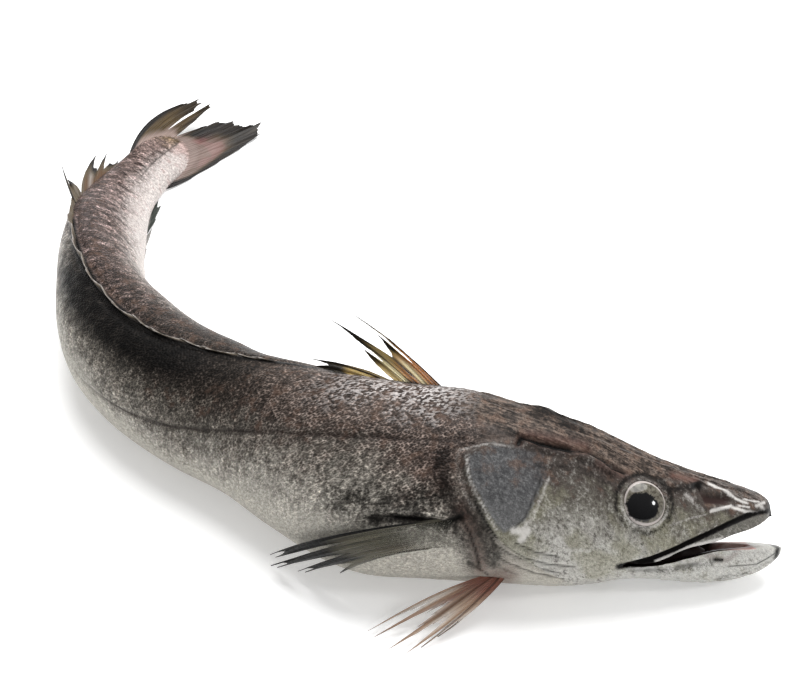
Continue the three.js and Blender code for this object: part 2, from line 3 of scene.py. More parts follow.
import bpy
import numpy as np
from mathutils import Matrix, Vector


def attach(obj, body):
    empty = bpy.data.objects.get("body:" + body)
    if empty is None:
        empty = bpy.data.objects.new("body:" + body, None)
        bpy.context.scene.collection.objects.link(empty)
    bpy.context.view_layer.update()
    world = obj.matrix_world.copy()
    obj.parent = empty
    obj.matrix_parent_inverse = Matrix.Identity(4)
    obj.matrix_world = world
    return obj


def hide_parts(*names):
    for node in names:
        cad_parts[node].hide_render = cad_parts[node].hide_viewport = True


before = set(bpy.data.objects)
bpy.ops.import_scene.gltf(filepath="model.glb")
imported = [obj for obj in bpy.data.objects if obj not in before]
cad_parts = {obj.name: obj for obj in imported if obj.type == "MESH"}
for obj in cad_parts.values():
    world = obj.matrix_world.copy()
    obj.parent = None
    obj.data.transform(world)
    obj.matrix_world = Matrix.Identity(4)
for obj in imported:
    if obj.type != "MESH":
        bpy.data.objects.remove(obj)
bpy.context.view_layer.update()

# ---------------------------------------------------------------- the body
# The body and head are soft flesh under a thin wet skin. The fish lies curled on its belly, so
# it is shaped straight first, every place given as (along, left, up) in millimetres behind the
# front of the head, and is then bent along its backbone.

HEAD_FRONT = (115.836, -108.975)
TURN = [(0, 0), (54, 4), (104, 12), (154, 40), (192, 40), (231, 59), (270, 82), (308, 91), (346, 106), (385, 123)]
LEAN = [(0, -35), (104, -43), (173, -8), (212, 9), (250, 15), (289, 32), (327, 52), (385, 66), (420, 84)]
THROAT, CHIN_LIFT, TAIL_ROOT, SINK = 60, 0.16, 360, 1
SECTIONS = [  # along, top, bottom, half width, height of the widest place, squareness
    (2, 11.4, -3.4, 2, 6, 2.4), (3, 12.8, -5.4, 4.4, 6, 2.4), (5, 14, -8, 7, 5.5, 2.4),
    (9, 15.3, -11.2, 9.8, 4.5, 2.3), (14, 16.3, -13.6, 11.8, 3.5, 2.3), (20, 17.2, -15, 13.4, 2.5, 2.3),
    (28, 18.5, -15.6, 15.4, 1.5, 2.3), (36, 20.2, -16, 17.2, 0, 2.3), (44, 22.2, -17.4, 18.8, -1, 2.2),
    (52, 24.8, -20, 20.2, -1.5, 2.1), (64, 28, -22.8, 21.8, -2, 2.1), (80, 30, -24.6, 23.8, -2, 2.1),
    (100, 31.6, -27.4, 25, -2, 2.1), (121, 29.4, -31, 24.2, -2, 2.1), (154, 26.4, -26.6, 21.2, -2, 2.1),
    (175, 25, -21.8, 20.8, -1, 2.1), (192, 24, -21.4, 21.8, 0, 2.1), (231, 21.6, -20.2, 20.8, 0, 2.1),
    (270, 19.4, -19, 14.8, 0, 2.1), (308, 16.4, -16, 10.2, 0, 2.1), (358, 10.2, -9.4, 4.6, 0, 2),
    (372, 9.4, -9.8, 3.4, 0, 2), (381, 7, -7.8, 2.2, 0, 2), (385, 3.6, -4.4, 1.2, 0, 2),
]
JAW_REACH, JAW_FADE, JAW_TOP = 6, 16, 3


def curve_through(points):
    """A smooth curve through pairs of place and value that never overshoots them."""
    x, y = np.array(points, float).T
    gap = np.diff(x)
    rise = np.diff(y) / gap
    slope = np.concatenate([rise[:1], np.zeros(len(x) - 2), rise[-1:]])
    before, after = 2 * gap[1:] + gap[:-1], gap[1:] + 2 * gap[:-1]
    steady = rise[:-1] * rise[1:] > 0
    first, second = np.where(steady, rise[:-1], 1), np.where(steady, rise[1:], 1)
    slope[1:-1] = np.where(steady, (before + after) / (before / first + after / second), 0)

    def at(place):
        place = np.clip(np.asarray(place, float), x[0], x[-1])
        i = np.clip(np.searchsorted(x, place, side="left") - 1, 0, len(x) - 2)
        t = (place - x[i]) / gap[i]
        rest = 1 - t
        bowed = gap[i] * t * rest * (slope[i] * rest - slope[i + 1] * t)
        return y[i] * rest * rest * (1 + 2 * t) + y[i + 1] * t * t * (3 - 2 * t) + bowed

    return at


def softened(curve, length):
    weights = np.array([1, 4, 6, 4, 1]) / 16
    return lambda place: sum(w * curve(np.asarray(place, float) + (i - 2) * length / 2) for i, w in enumerate(weights))


def sections_of(rows):
    columns = [curve_through([(row[0], row[k]) for row in rows]) for k in range(1, 6)]
    return lambda along: [column(along) for column in columns]


def section_point(section, angle):
    top, bottom, half, middle, square = section
    across, high = np.cos(angle), np.sin(angle)
    reach = np.where(high > 0, top - middle, middle - bottom)
    left = half * np.sign(across) * np.abs(across) ** (2 / square)
    return left, middle + reach * np.sign(high) * np.abs(high) ** (2 / square)


section_at = sections_of(SECTIONS)
turn_at, lean_at = softened(curve_through(TURN), 20), softened(curve_through(LEAN), 20)


def reach_below(along):
    along = np.atleast_1d(np.asarray(along, float))[:, None]
    left, up = section_point(section_at(along), np.arange(0, 2 * math.pi, math.pi / 90)[None])
    lean = np.radians(lean_at(along))
    return np.max(-(left * np.sin(lean) + up * np.cos(lean)), axis=1)


throat_reach = reach_below(THROAT)[0]


def height_at(along):
    resting = reach_below(np.minimum(along, TAIL_ROOT)) - SINK
    return np.where(along >= THROAT, resting, throat_reach - SINK - (THROAT - along) * CHIN_LIFT)


spine_along = np.arange(-10, 451)
soft_height = softened(height_at, 24)
turn, lean = np.radians(turn_at(spine_along)), np.radians(lean_at(spine_along))
climb = soft_height(spine_along + 0.5) - soft_height(spine_along - 0.5)
level = np.sqrt(1 - climb ** 2)
backward = np.stack([-np.cos(turn) * level, np.sin(turn) * level, climb], 1)
flat = np.cross(backward, [0, 0, 1])
flat /= np.linalg.norm(flat, axis=1)[:, None]
rise = np.cross(flat, backward)
spine_left = flat * np.cos(lean)[:, None] + rise * np.sin(lean)[:, None]
spine_up = rise * np.cos(lean)[:, None] - flat * np.sin(lean)[:, None]
spine_xy = np.cumsum(np.vstack([[HEAD_FRONT[0] + 10, HEAD_FRONT[1]], backward[:-1, :2]]), axis=0)
spine = np.column_stack([spine_xy, soft_height(spine_along)])


def bend(along, left, up):
    """Places on the straight fish, as rows of x, y and z on the curled one."""
    at = np.clip(np.asarray(along, float), -10, 448.999) + 10
    i = np.floor(at).astype(int)
    t = (at - i)[..., None]
    mixed = lambda frames: frames[i] * (1 - t) + frames[i + 1] * t
    return mixed(spine) + mixed(spine_left) * np.asarray(left)[..., None] + mixed(spine_up) * np.asarray(up)[..., None]


def chin_shift(along, up):
    t = np.clip(up / (2 * JAW_TOP), 0, 1)
    return -JAW_REACH * (1 - t * t * (3 - 2 * t)) * np.maximum(0, 1 - along / JAW_FADE)


def mesh_object(name, points, faces):
    mesh = bpy.data.meshes.new(name)
    mesh.from_pydata(points.tolist(), [], faces)
    mesh.validate()
    obj = bpy.data.objects.new(name, mesh)
    bpy.context.scene.collection.objects.link(obj)
    return obj


def ring_object(name, rings):
    """A closed skin over rings of points, with an end point in the middle of the first and the last."""
    count, sides = rings.shape[:2]
    faces = []
    for r in range(count - 1):
        for k in range(sides):
            a, b = r * sides + k, r * sides + (k + 1) % sides
            faces.append((a, b, b + sides, a + sides))
    last = (count - 1) * sides
    for k in range(sides):
        faces.append((count * sides, (k + 1) % sides, k))
        faces.append((count * sides + 1, last + k, last + (k + 1) % sides))
    points = np.vstack([rings.reshape(-1, 3), rings[0].mean(0), rings[-1].mean(0)])
    return mesh_object(name, points, faces)


def loft(name, along, section_of, sides, shift=None):
    along = np.asarray(along, float)[:, None]
    left, up = section_point(section_of(along), np.linspace(0, 2 * math.pi, sides, endpoint=False)[None])
    back = along + 0 * left
    if shift:
        back = back + shift(along, up)
    return ring_object(name, np.stack([back, left, up], -1))


head_rings = np.concatenate([np.arange(2, 9, 0.4), np.arange(9, 108, 0.75)])
body_rings = np.concatenate([head_rings, np.arange(108, 384.5, 1.25), [385]])
body = loft("body", body_rings, section_at, 208, chin_shift)

# The mouth is cut through from lip to jaw and hollowed behind them, and the eyes have sockets.

LIP_EDGE = [
    (-6, 8.4), (2, 7.8), (6, 5.6), (10, 3.6), (14.5, 1.7), (18.2, -0.4), (23.5, -2.5), (27.4, -4), (31, -6.1),
    (34.7, -8.8), (40, -11.3), (46, -12.9),
]
JAW_RIM = [(-6, -0.8), (2, -1.4), (10, -2.4), (18, -3.8), (26, -6.9), (36, -11), (46, -13.4)]
MOUTH = [
    (4, 7.4, 0, 3.4, 3, 2), (9, 7.2, -4, 6, 2, 2), (16, 6, -7, 8.4, 0, 2), (26, 2.6, -10, 10.4, -3, 2),
    (36, -2.6, -13, 11.4, -7, 2), (46, -8, -15, 9, -12, 2), (52, -11, -13, 3, -12, 2),
]
EYE_ALONG, EYE_UP, EYE_RADIUS, EYE_BULGE, EYE_INSET, SOCKET_GAP = 43.2, 6.9, 6.9, 3.4, 1.3, 0.35


def flank_at(along, up):
    """Distance of the skin from the middle plane."""
    top, bottom, half, middle, square = section_at(along)
    reach = np.where(up > middle, top - middle, middle - bottom)
    share = np.clip(np.abs(up - middle) / reach, 0, 0.999)
    return half * (1 - share ** square) ** (1 / square)


def eye_seat(side):
    """Middle of an eyeball and the way it looks, on the straight fish."""
    at = lambda along, up: np.array([along, side * float(flank_at(along, up)), up])
    forward = at(EYE_ALONG - 2, EYE_UP) - at(EYE_ALONG + 2, EYE_UP)
    upward = at(EYE_ALONG, EYE_UP + 2) - at(EYE_ALONG, EYE_UP - 2)
    out = np.cross(forward, upward)
    out /= np.linalg.norm(out) * (1 if out[1] * side > 0 else -1)
    return at(EYE_ALONG, EYE_UP) - out * EYE_INSET, out


def eye_lens(name, side, growth, turns, bands):
    middle, out = eye_seat(side)
    first = np.cross(out, [0, 0, 1])
    first /= np.linalg.norm(first)
    second = np.cross(out, first)
    polar = (math.pi * np.arange(1, bands) / bands)[:, None, None]
    angle = np.linspace(0, 2 * math.pi, turns, endpoint=False)[None, :, None]
    wide, deep = (EYE_RADIUS + growth) * np.sin(polar), (EYE_BULGE + growth) * np.cos(polar)
    return ring_object(name, middle + wide * (np.cos(angle) * first + np.sin(angle) * second) + deep * out)


def mouth_gap():
    along = np.linspace(LIP_EDGE[0][0], LIP_EDGE[-1][0], 70)
    lip, rim = curve_through(LIP_EDGE)(along), curve_through(JAW_RIM)(along)
    corners = [(-40, rim), (40, rim), (40, lip), (-40, lip)]
    return ring_object("mouth_gap", np.stack([np.stack([along, 0 * along + left, up], -1) for left, up in corners], 1))


cutters = [
    mouth_gap(),
    loft("mouth_hollow", np.arange(4, 52.1, 1.5), sections_of(MOUTH), 72),
    eye_lens("socket_right", -1, SOCKET_GAP, 96, 24),
    eye_lens("socket_left", 1, SOCKET_GAP, 96, 24),
]
for cutter in cutters:
    cut = body.modifiers.new("cut", "BOOLEAN")
    cut.object, cut.operation, cut.solver = cutter, "DIFFERENCE", "MANIFOLD"
cut_mesh = bpy.data.meshes.new_from_object(body.evaluated_get(bpy.context.evaluated_depsgraph_get()))
body.modifiers.clear()
body.data = cut_mesh
for cutter in cutters:
    bpy.data.objects.remove(cutter)

# The relief of the skin: gill covers with their bony plates, eye rims, nostrils, lips, the slit
# above the cover, folds of the throat, the lateral line and the groove along the back.

GILL_REAR = [
    (-20, 62), (-18.5, 68), (-15, 77.5), (-9, 85.5), (-2.8, 90.5), (3.6, 95), (10, 97.5), (15, 93), (18.5, 83),
]
GILL_FRONT = [(-20, 55), (-9, 64), (4.8, 70), (18.5, 75)]
LIP_GROOVE = [
    (3, 9.7), (6, 9.4), (10.5, 8), (16, 5), (22, 1.2), (27.5, -2.2), (32.5, -5.6), (37.3, -8.6), (41.8, -11.1),
    (45.7, -12.8),
]
SLIT = [(81.9, 17.2), (81.4, 19.3), (74.5, 18.8), (67, 18.4), (62, 19), (57.2, 17.5), (54.3, 15.7), (50, 14.6)]
PLATE = [
    (95.4, 10.7), (93.5, 4.3), (89.1, -1.7), (83.8, -8.2), (81.5, -9.2), (78.6, -7), (75.9, -3.7), (74, 4.3),
    (72.2, 10.2), (74.5, 16.2), (82.3, 15.6), (89, 14.8),
]
CHEEK_RIDGE = [(71, 14), (70.5, 10), (72.3, 4.3), (74.2, -3.7), (77, -8), (80, -11)]
LATERAL_LINE = [
    (99, 15), (104, 14.3), (114, 12.8), (126, 11.5), (139, 10), (155, 8.7), (175, 7.4), (230, 5), (290, 2.5),
    (340, 0.8), (384, 0),
]
THROAT_FOLDS = [
    [(87, -9), (83.4, -13.5), (79.3, -15.5), (72, -17.3), (64, -17.8)],
    [(81, -12.9), (74.8, -15.2), (67.3, -15.9), (60, -15.8)],
    [(85, -15.5), (80, -18), (72, -19.8), (62, -20.3)], [(78, -11.5), (72, -13), (65, -13.6)],
]
SHOULDER_FOLD = [(116, -12.6), (110.5, -10.9), (104.2, -10.3), (97.7, -10.1), (94.3, -7.3)]
NOSTRIL_PIT = [(26.4, 15), (25, 12.8), (17.2, 13.3), (16.2, 11.4), (18, 10), (24.8, 9.4), (26, 11.4), (27.4, 14.2)]

co = np.empty(len(body.data.vertices) * 3)
body.data.vertices.foreach_get("co", co)
co = co.reshape(-1, 3)
along, left, up = co.T.copy()
ring = along.copy()
for _ in range(12):
    ring = along - chin_shift(ring, up)
ring = np.clip(ring, 2, 385)
top, bottom, half, middle, square = section_at(ring)
reach = np.where(up > middle, top - middle, middle - bottom)
fullness = ((np.abs(left) / half) ** square + (np.abs(up - middle) / reach) ** square) ** (1 / square)
is_skin = (fullness > 0.985) | (along > 60)


def smooth(t):
    t = np.clip(t, 0, 1)
    return t * t * (3 - 2 * t)


def fade(value, start, width):
    """Rises from 0 at the start to 1 over the width, or grows the other way where that is negative."""
    return smooth((value - start) / width)


def path_distance(path, x, y):
    """Distance to a line through points, positive on its left as it runs."""
    path = np.array(path, float)
    best, sign = np.full(x.shape, 1e9), np.ones(x.shape)
    for (ax, ay), (bx, by) in zip(path[:-1], path[1:]):
        dx, dy = bx - ax, by - ay
        t = np.clip(((x - ax) * dx + (y - ay) * dy) / (dx * dx + dy * dy), 0, 1)
        far = np.hypot(x - ax - t * dx, y - ay - t * dy)
        closer = far < best
        best = np.where(closer, far, best)
        sign = np.where(closer, np.sign(dx * (y - ay) - dy * (x - ax)), sign)
    return best * sign


def inside_of(outline, x, y):
    """Distance inside a closed outline, negative outside it."""
    closed = list(outline) + [outline[0]]
    crossings = np.zeros(x.shape, int)
    for (ax, ay), (bx, by) in zip(closed[:-1], closed[1:]):
        crossings += ((ay > y) != (by > y)) & (x < (bx - ax) * (y - ay) / (by - ay + 1e-12) + ax)
    return np.where(crossings % 2 == 1, 1, -1) * np.abs(path_distance(closed, x, y))


def bump(distance, width):
    return np.exp(-((distance / width) ** 2))


def waves(x, y, seed, size):
    """Slow uneven swells between -1 and 1."""
    draw = np.random.default_rng(seed)
    total = np.zeros(x.shape)
    for _ in range(6):
        angle, phase, stretch = draw.uniform(0, 2 * math.pi), draw.uniform(0, 2 * math.pi), draw.uniform(0.6, 1.6)
        total += np.sin((x * math.cos(angle) + y * math.sin(angle)) * 2 * math.pi / (size * stretch) + phase)
    return total / 6


quarter = np.linspace(0, 2 * math.pi, 181)
table_along = np.arange(2, 386.0)
table_left, table_up = section_point(section_at(table_along[:, None]), math.pi / 2 - quarter[None] / 2)
table_arc = np.concatenate([np.zeros((len(table_along), 1)),
                            np.cumsum(np.hypot(np.diff(table_left), np.diff(table_up)), axis=1)], axis=1)
across = np.clip(np.abs(left) / half, 0, 1) ** (square / 2)
high = np.sign(up - middle) * np.clip(np.abs(up - middle) / reach, 0, 1) ** (square / 2)
down_angle = np.arctan2(across, high)
row, column = ring - 2, down_angle / math.pi * 180
i, j = np.clip(row.astype(int), 0, 382), np.clip(column.astype(int), 0, 179)
fi, fj = row - i, column - j
around = ((table_arc[i, j] * (1 - fi) + table_arc[i + 1, j] * fi) * (1 - fj)
          + (table_arc[i, j + 1] * (1 - fi) + table_arc[i + 1, j + 1] * fi) * fj)
girth = table_arc[i, -1] * (1 - fi) + table_arc[i + 1, -1] * fi
below = around / girth

gill_rear, gill_front = curve_through(GILL_REAR)(up), curve_through(GILL_FRONT)(up)
gill_band = fade(up, -20.5, 3) * fade(up, 19.4, -1.2) * (ring < 110)
behind_gill = ring - gill_rear
cover = gill_band * smooth(-behind_gill / 0.9) * smooth(1.5 * (ring - gill_front) / (gill_rear - gill_front))
collar = gill_band * smooth(behind_gill / 0.6) * np.exp(-np.maximum(behind_gill, 0) / 2.2)
on_head = fade(ring, 108, -8)
plate = inside_of(PLATE, ring, up)
slit = path_distance(SLIT, ring, up)
groove = path_distance(LIP_GROOVE, along, up)
cheek_ridge = path_distance(CHEEK_RIDGE, ring, up)
lateral = path_distance(LATERAL_LINE, ring, up)
shoulder_fold = path_distance(SHOULDER_FOLD, ring, up)
eye_far = np.full(ring.shape, 1e9)
for side in (-1, 1):
    seat, out = eye_seat(side)
    offset = co - seat
    flatwise = offset - (offset @ out)[:, None] * out
    eye_far = np.where(left * side > 0, np.linalg.norm(flatwise, axis=1), eye_far)
nostril = inside_of(NOSTRIL_PIT, ring, up)
folds = sum(bump(path_distance(fold, ring, up), 0.6) for fold in THROAT_FOLDS)
throat = fade(ring, 44, 12) * fade(ring, 92, -10) * fade(up, -13, -4) * fade(below, 0.93, -0.1)
crown_lines = [[(16, 2.4), (30, 3.2), (48, 4.2), (70, 5), (96, 4)], [(20, 6), (34, 8), (52, 11), (72, 13.5), (92, 12)]]
crown_ridges = [path_distance(line, ring, np.abs(left)) for line in crown_lines]
on_top = fade(below, 0.26, -0.05) * fade(ring, 10, 6)
groove_depth = (0.6 + 0.25 * fade(ring, 14, 10)) * fade(along, 47, -3) * (up > -14)
lip_height = up - curve_through(LIP_EDGE)(along)
lower_jaw = smooth((curve_through(JAW_RIM)(along) - up + 0.4) / 0.5) * fade(along, 47, -2)

relief = 1.1 * cover - 0.6 * collar
relief += 0.35 * bump(plate, 0.7) * cover - 0.3 * smooth(plate / 2) * cover
relief += 0.35 * bump(cheek_ridge, 1) - 0.3 * bump(cheek_ridge - 2.2, 1.3) * (ring < 80)
relief -= (1.1 + 0.6 * fade(ring, 64, 8)) * bump(slit, 0.55 + 0.35 * fade(ring, 64, 8))
relief += 0.6 * bump(slit - 1.5, 0.8) * (ring > 50)
relief -= 1.8 * groove_depth * bump(groove, 0.75)
relief += 0.45 * bump(groove - 2, 1.4) * fade(along, 44, -6)
relief += 0.35 * bump(eye_far - EYE_RADIUS - 0.5, 0.45) - 0.2 * bump(eye_far - EYE_RADIUS - 1.8, 0.8)
relief -= 1.2 * fade(nostril, -0.3, 1.4)
relief += 0.5 * bump(nostril + 0.8, 0.5)
relief -= 0.55 * folds * on_head
relief += 0.16 * throat * np.sin((up + 0.45 * (ring - 60)) * 2 * math.pi / 2.6)
for ridge in crown_ridges:
    relief += (0.4 * bump(ridge, 0.7) - 0.25 * bump(ridge + 1.8, 0.8)) * on_top * on_head
relief -= 1.1 * bump(shoulder_fold, 1.1) - 0.8 * bump(shoulder_fold + 3.4, 2.2) * (ring > 90)
relief -= 0.3 * bump(lateral, 0.7) * (ring > 97)
relief -= 0.5 * bump(around - 2.2, 0.8) * fade(ring, 150, 10) * fade(ring, 310, -10)
relief += 0.9 * bump(ring - 76, 4.5) * fade(around, 10, -5) * (1 + 0.5 * waves(ring, around, 11, 4))
relief += 0.14 * (waves(ring, around * np.sign(left), 3, 24) - 1) * fade(ring, 100, 10)
relief += 0.16 * waves(ring, around * np.sign(left), 5, 5) * on_head

sign = np.sign(up - middle)
normal = np.stack([0 * ring, np.sign(left) * (np.abs(left) / half) ** (square - 1) / half,
                   sign * (np.abs(up - middle) / reach) ** (square - 1) / reach], 1)
normal /= np.linalg.norm(normal, axis=1)[:, None] + 1e-9
straight = co + normal * (relief * is_skin * smooth(ring / 4 - 0.5))[:, None]
straight[:, 1] *= 1 - 0.8 * fade(ring, 364, 20)


def settled(height, floor=0.0, ease=0.25):
    lift = (height - floor) / 2
    return floor + lift + np.sqrt(lift * lift + ease * ease)


def write_mesh(obj, points):
    """Puts points in millimetres into a closed mesh and turns its faces outward."""
    obj.data.vertices.foreach_set("co", (np.asarray(points) * 0.001).ravel())
    obj.data.update()
    polygons = obj.data.polygons
    read = lambda name, size: (polygons.foreach_get(name, out := np.empty(len(polygons) * size, np.float32)), out)[1]
    centre, facing, area = read("center", 3).reshape(-1, 3), read("normal", 3).reshape(-1, 3), read("area", 1)
    if ((centre * facing).sum(1) * area).sum() < 0:
        obj.data.flip_normals()
    polygons.foreach_set("use_smooth", np.ones(len(polygons), bool))


def write_values(obj, **values):
    for name, value in values.items():
        attribute = obj.data.attributes.new(name, "FLOAT", "POINT")
        attribute.data.foreach_set("value", np.asarray(value, np.float32).ravel())


lying = bend(*straight.T)
lying[:, 2] = settled(lying[:, 2])
write_mesh(body, lying)

# The pattern: how far each place is inside the dark back and the pale belly, and the marks on the head.
# On the right flank toward the tail the dark back narrows and the pale belly reaches far up the side: partly the
# fish's own colours, partly painted sheen on that flank where it rolls over at the bend.
BACK_EDGE = [
    (0, 0.34), (20, 0.42), (40, 0.43), (60, 0.46), (85, 0.5), (104, 0.56), (118, 0.44), (150, 0.39), (175, 0.35),
    (200, 0.28), (225, 0.16), (250, 0.08), (270, 0.03), (385, 0),
]
BELLY_EDGE = [
    (0, 0.45), (30, 0.62), (60, 0.6), (85, 0.66), (110, 0.64), (130, 0.58), (160, 0.55), (185, 0.54), (210, 0.42),
    (235, 0.31), (260, 0.23), (290, 0.1), (385, 0.1),
]
BACK_EDGE_LEFT = [(0, 0.25), (60, 0.46), (104, 0.5), (150, 0.37), (250, 0.26), (300, 0.3), (350, 0.2), (385, 0.1)]
BELLY_EDGE_LEFT = [(0, 0.45), (60, 0.6), (130, 0.58), (250, 0.42), (300, 0.52), (350, 0.51), (385, 0.46)]


def marks(strokes):
    """Painted strokes, each a half width, a strength and the places it passes."""
    paths = [(width, strength, np.array(places, float).reshape(-1, 2)) for width, strength, *places in strokes]
    return np.max([strength * bump(path_distance(path, along, up), width) for width, strength, path in paths], axis=0)


def most(*shares):
    return np.maximum.reduce(np.broadcast_arrays(*shares))


# Crisp dark strokes: partly dark marks of the skin, partly painted shadow in the lip groove, the slit above the gill
# cover, the creases of the throat and shoulder and under the rear edge of the gill cover.
DARK_AND_SHADOW_MARKS = [
    (1.0, 0.9, LIP_GROOVE[:4]), (1.2, 1, 38, -10.2, 47.2, -13.2), (0.95, 1, SLIT[:4]), (0.5, 0.8, SLIT[3:]),
    (1, 0.9, 28.4, 14.4, 26.4, 14.9), (0.45, 0.6, 73.8, 10, 74.8, 4.3, 76.6, -3.7, 79.2, -7.4),
    (0.9, 0.9, SHOULDER_FOLD[1:]), (0.7, 0.7, 94.5, -7, 91, -11, 88.5, -16, 86.5, -21),
    (0.6, 0.85, 91, -2, 87, -7.5, 83.4, -11.4), (0.6, 0.5, 84.5, -12.5, 82, -16),
    (0.4, 0.5, 97, 11, 94.6, 3, 90.6, -2.5), (0.35, 0.65, 14.4, -8.2, 5, -6.6, -0.5, -2.9),
    (0.75, 0.8, 19, -6.5, 16.6, -6.5), (1.1, 0.9, 3, 13.6, 1.4, 9, 2, 6), (1.4, 0.85, -1.5, -1.6, -1.6, -4),
    (0.3, 0.4, 9, -2.9, 3, -2.9), (1.1, 0.5, 30, -10.4, 24, -8.6), (0.8, 0.4, 44, -14, 34, -12),
    (0.5, 0.5, 88, -17, 83, -19.5, 76, -21), (0.7, 0.55, 90, -20, 84, -22.5),
    (0.5, 0.6, 82, 15.8, 90, 15.9, 97, 14.6, 101, 11.5),
] + [(0.4, 0.65, fold) for fold in THROAT_FOLDS]
# Soft wide strokes of painted shade: in the folds, behind and under the gill cover, above the pectoral fin, above the
# eye and along the upper jaw.
PAINTED_SHADE_MARKS = [
    (1.4, 0.8, 40, 15.2, 36.6, 12.2, 32.8, 13, 27, 14.3), (1.3, 0.5, 36.5, 4, 36, 9),
    (2.6, 0.35, 52, 3, 56, 12, 66, 14), (3, 0.75, 66, 26.5, 71, 27.5, 78, 29.6), (2.4, 0.9, SHOULDER_FOLD),
    (5, 0.7, 124, -8, 112, -6.5, 101, -3), (3.2, 0.85, 103, 10, 101, 3, 98, -3, 94.5, -7),
    (3, 0.8, 93, -3, 88.5, -9.7, 85.6, -13.8, 83, -18), (3.4, 0.6, 98, -8, 92, -13, 89, -20),
    (2, 0.4, 75, 12, 62, 14), (1.6, 0.6, 80, 17.5, 66, 16.8, 54, 13.6), (2, 0.5, 98, 17, 90, 19.5, 83, 20),
    (1.6, 0.4, 42, -13.6, 32, -12, 24, -9.4, 18, -6.4), (1.2, 0.35, 16, -13, 5, -8.4, 0, -5),
]
PALE_MARKS = [
    (0.4, 0.75, 95.8, 10.9, 93.9, 4.3, 89.5, -1.9, 84, -8.6), (0.9, 0.3, 98.6, 12.4, 97.2, 6, 94.2, 0, 91, -4),
    (0.5, 0.5, 97.5, 12.6, 95.2, 13.6, 90, 15.3, 83, 15.8), (0.6, 0.5, 72, 9, 72.8, 4.3, 74.6, -3.7, 77.4, -7.6),
    (1.3, 0.9, 79, -8, 75.4, -7.4, 76.6, -10.2), (0.55, 1, 22.5, 7.8, 16.5, 9.9, 11.2, 8.9, 7.5, 9, 4.9, 9.9),
    (0.5, 0.85, 23.5, 15.7, 18, 14, 15, 12.4, 11, 11.4), (0.35, 0.7, 12, 12.6, 7, 12),
    (0.35, 0.8, 14, 10.6, 10.5, 10.2), (1.6, 0.4, 61, -3, 56, -7), (1, 0.5, 67, -8, 63, -11, 57, -10),
    (0.45, 0.45, 35.1, 1.4, 28.4, 4.9, 24, 6.6), (0.4, 0.35, 35.5, -1.6, 27, 2.4), (1.1, 0.5, 30.6, 11.4, 28.6, 10),
    (0.8, 0.4, 27, 8.6, 25, 7.6), (0.8, 0.75, 6.4, 11, 4.6, 9.6), (0.7, 0.7, 8, 10.8, 5, 12),
    (0.5, 0.5, 12.5, -3.4, 4, -2.3, 0.4, -1.9),
]
WARM_MARKS = [
    (1.5, 0.55, SLIT[:5] + [(63, 20.6), (74, 20.8), (80, 21)]), (1, 0.8, 35.1, 16.4, 27.4, 15.9),
    (1.6, 0.5, 58, 15.5, 50, 13.6), (1, 0.45, 21.5, -5.6, 15, -6.4, 12, -3.2), (1.6, 0.4, 86, -11, 84, -15),
    (4, 0.8, 81.5, -23, 79, -22), (3, 0.8, 94, -5, 90, -11, 87.5, -17, 86, -21), (2.6, 0.3, 104, 9, 101, 2, 97, -4),
]
low_at_eye = fade(up, 9, -7)
# Dark marks, with painted shade in the lip groove and a line of painted shade along the middle of the back, at the
# first dorsal fin's base and in the groove behind it.
dark_and_shadow_mark = most(
    marks(DARK_AND_SHADOW_MARKS), smooth((1.15 - np.abs(groove)) / 0.55) * fade(along, 46.4, -1.5) * fade(along, 8, 2),
    0.9 * bump(np.abs(around) - 0.4 * (ring > 150), 1.1) * fade(ring, 100, 4) * fade(ring, 300, -8),
)
# Painted shade: these strokes, a ring round the eye that is darkest at its top, and a band under the first dorsal
# fin's base.
painted_shade_mark = most(
    marks(PAINTED_SHADE_MARKS), (0.95 - 0.4 * low_at_eye) * bump(eye_far - EYE_RADIUS - 1.9, 0.8),
    fade(around, 6.5, -4.5) * fade(ring, 104, 5) * fade(ring, 130, -12),
)
pale_mark = most(
    marks(PALE_MARKS),
    0.8 * fade(lip_height, 1.4, -0.8) * fade(along, 16, 3) * fade(along, 43, -3) * (lip_height > -0.5),
    (0.25 + 0.35 * low_at_eye) * smooth((1 - np.abs(eye_far - EYE_RADIUS - 0.3)) / 0.9),
)
to_right = fade(left, 0.6, -1.2)
edge = lambda right, wrong: curve_through(right)(ring) * to_right + curve_through(wrong)(ring) * (1 - to_right)
CROWN_EDGE = [(8, 11.8), (20, 14.2), (34, 15.2), (45, 14.9), (57, 17.2), (62, 18.8), (81, 19), (92, 21.5), (108, 23)]
above_crown_edge = up - curve_through(CROWN_EDGE)(ring)
skin_values = {
    "along": ring, "around": around * np.sign(left), "below": below, "to_right": to_right,
    "nearer": fade(ring, 176, -40),
    "to_back": edge(BACK_EDGE, BACK_EDGE_LEFT) - below, "to_belly": below - edge(BELLY_EDGE, BELLY_EDGE_LEFT),
    "crown": smooth(above_crown_edge / 0.9 + 0.5) * fade(ring, 114, -24), "plate": plate, "nostril": nostril,
    "head": smooth((gill_rear - ring + 0.6) / 1.2) * fade(up, -24, 4) * (ring < 100), "jaw": lower_jaw,
    "lip": smooth(-groove / 0.6) * fade(lip_height, -0.4, 0.4) * fade(along, 46, -3) * fade(along, -1, 2),
    "lateral": bump(lateral, 0.6 - 0.25 * fade(ring, 300, 40)) * fade(ring, 96, 4)
    * np.maximum(fade(ring, 245, -40), 0.8 * fade(ring, 348, 8)),
    # The saddle is painted shade: black on the back of the right flank at the bend, which is turned away from the
    # light.
    "painted_shade_saddle": to_right * fade(ring, 158, 40) * fade(ring, 285, -30) * fade(below, 0.28, -0.14),
    "dark": dark_and_shadow_mark, "painted_shade": painted_shade_mark, "pale": pale_mark, "warm": marks(WARM_MARKS),
}
write_values(body, **skin_values)

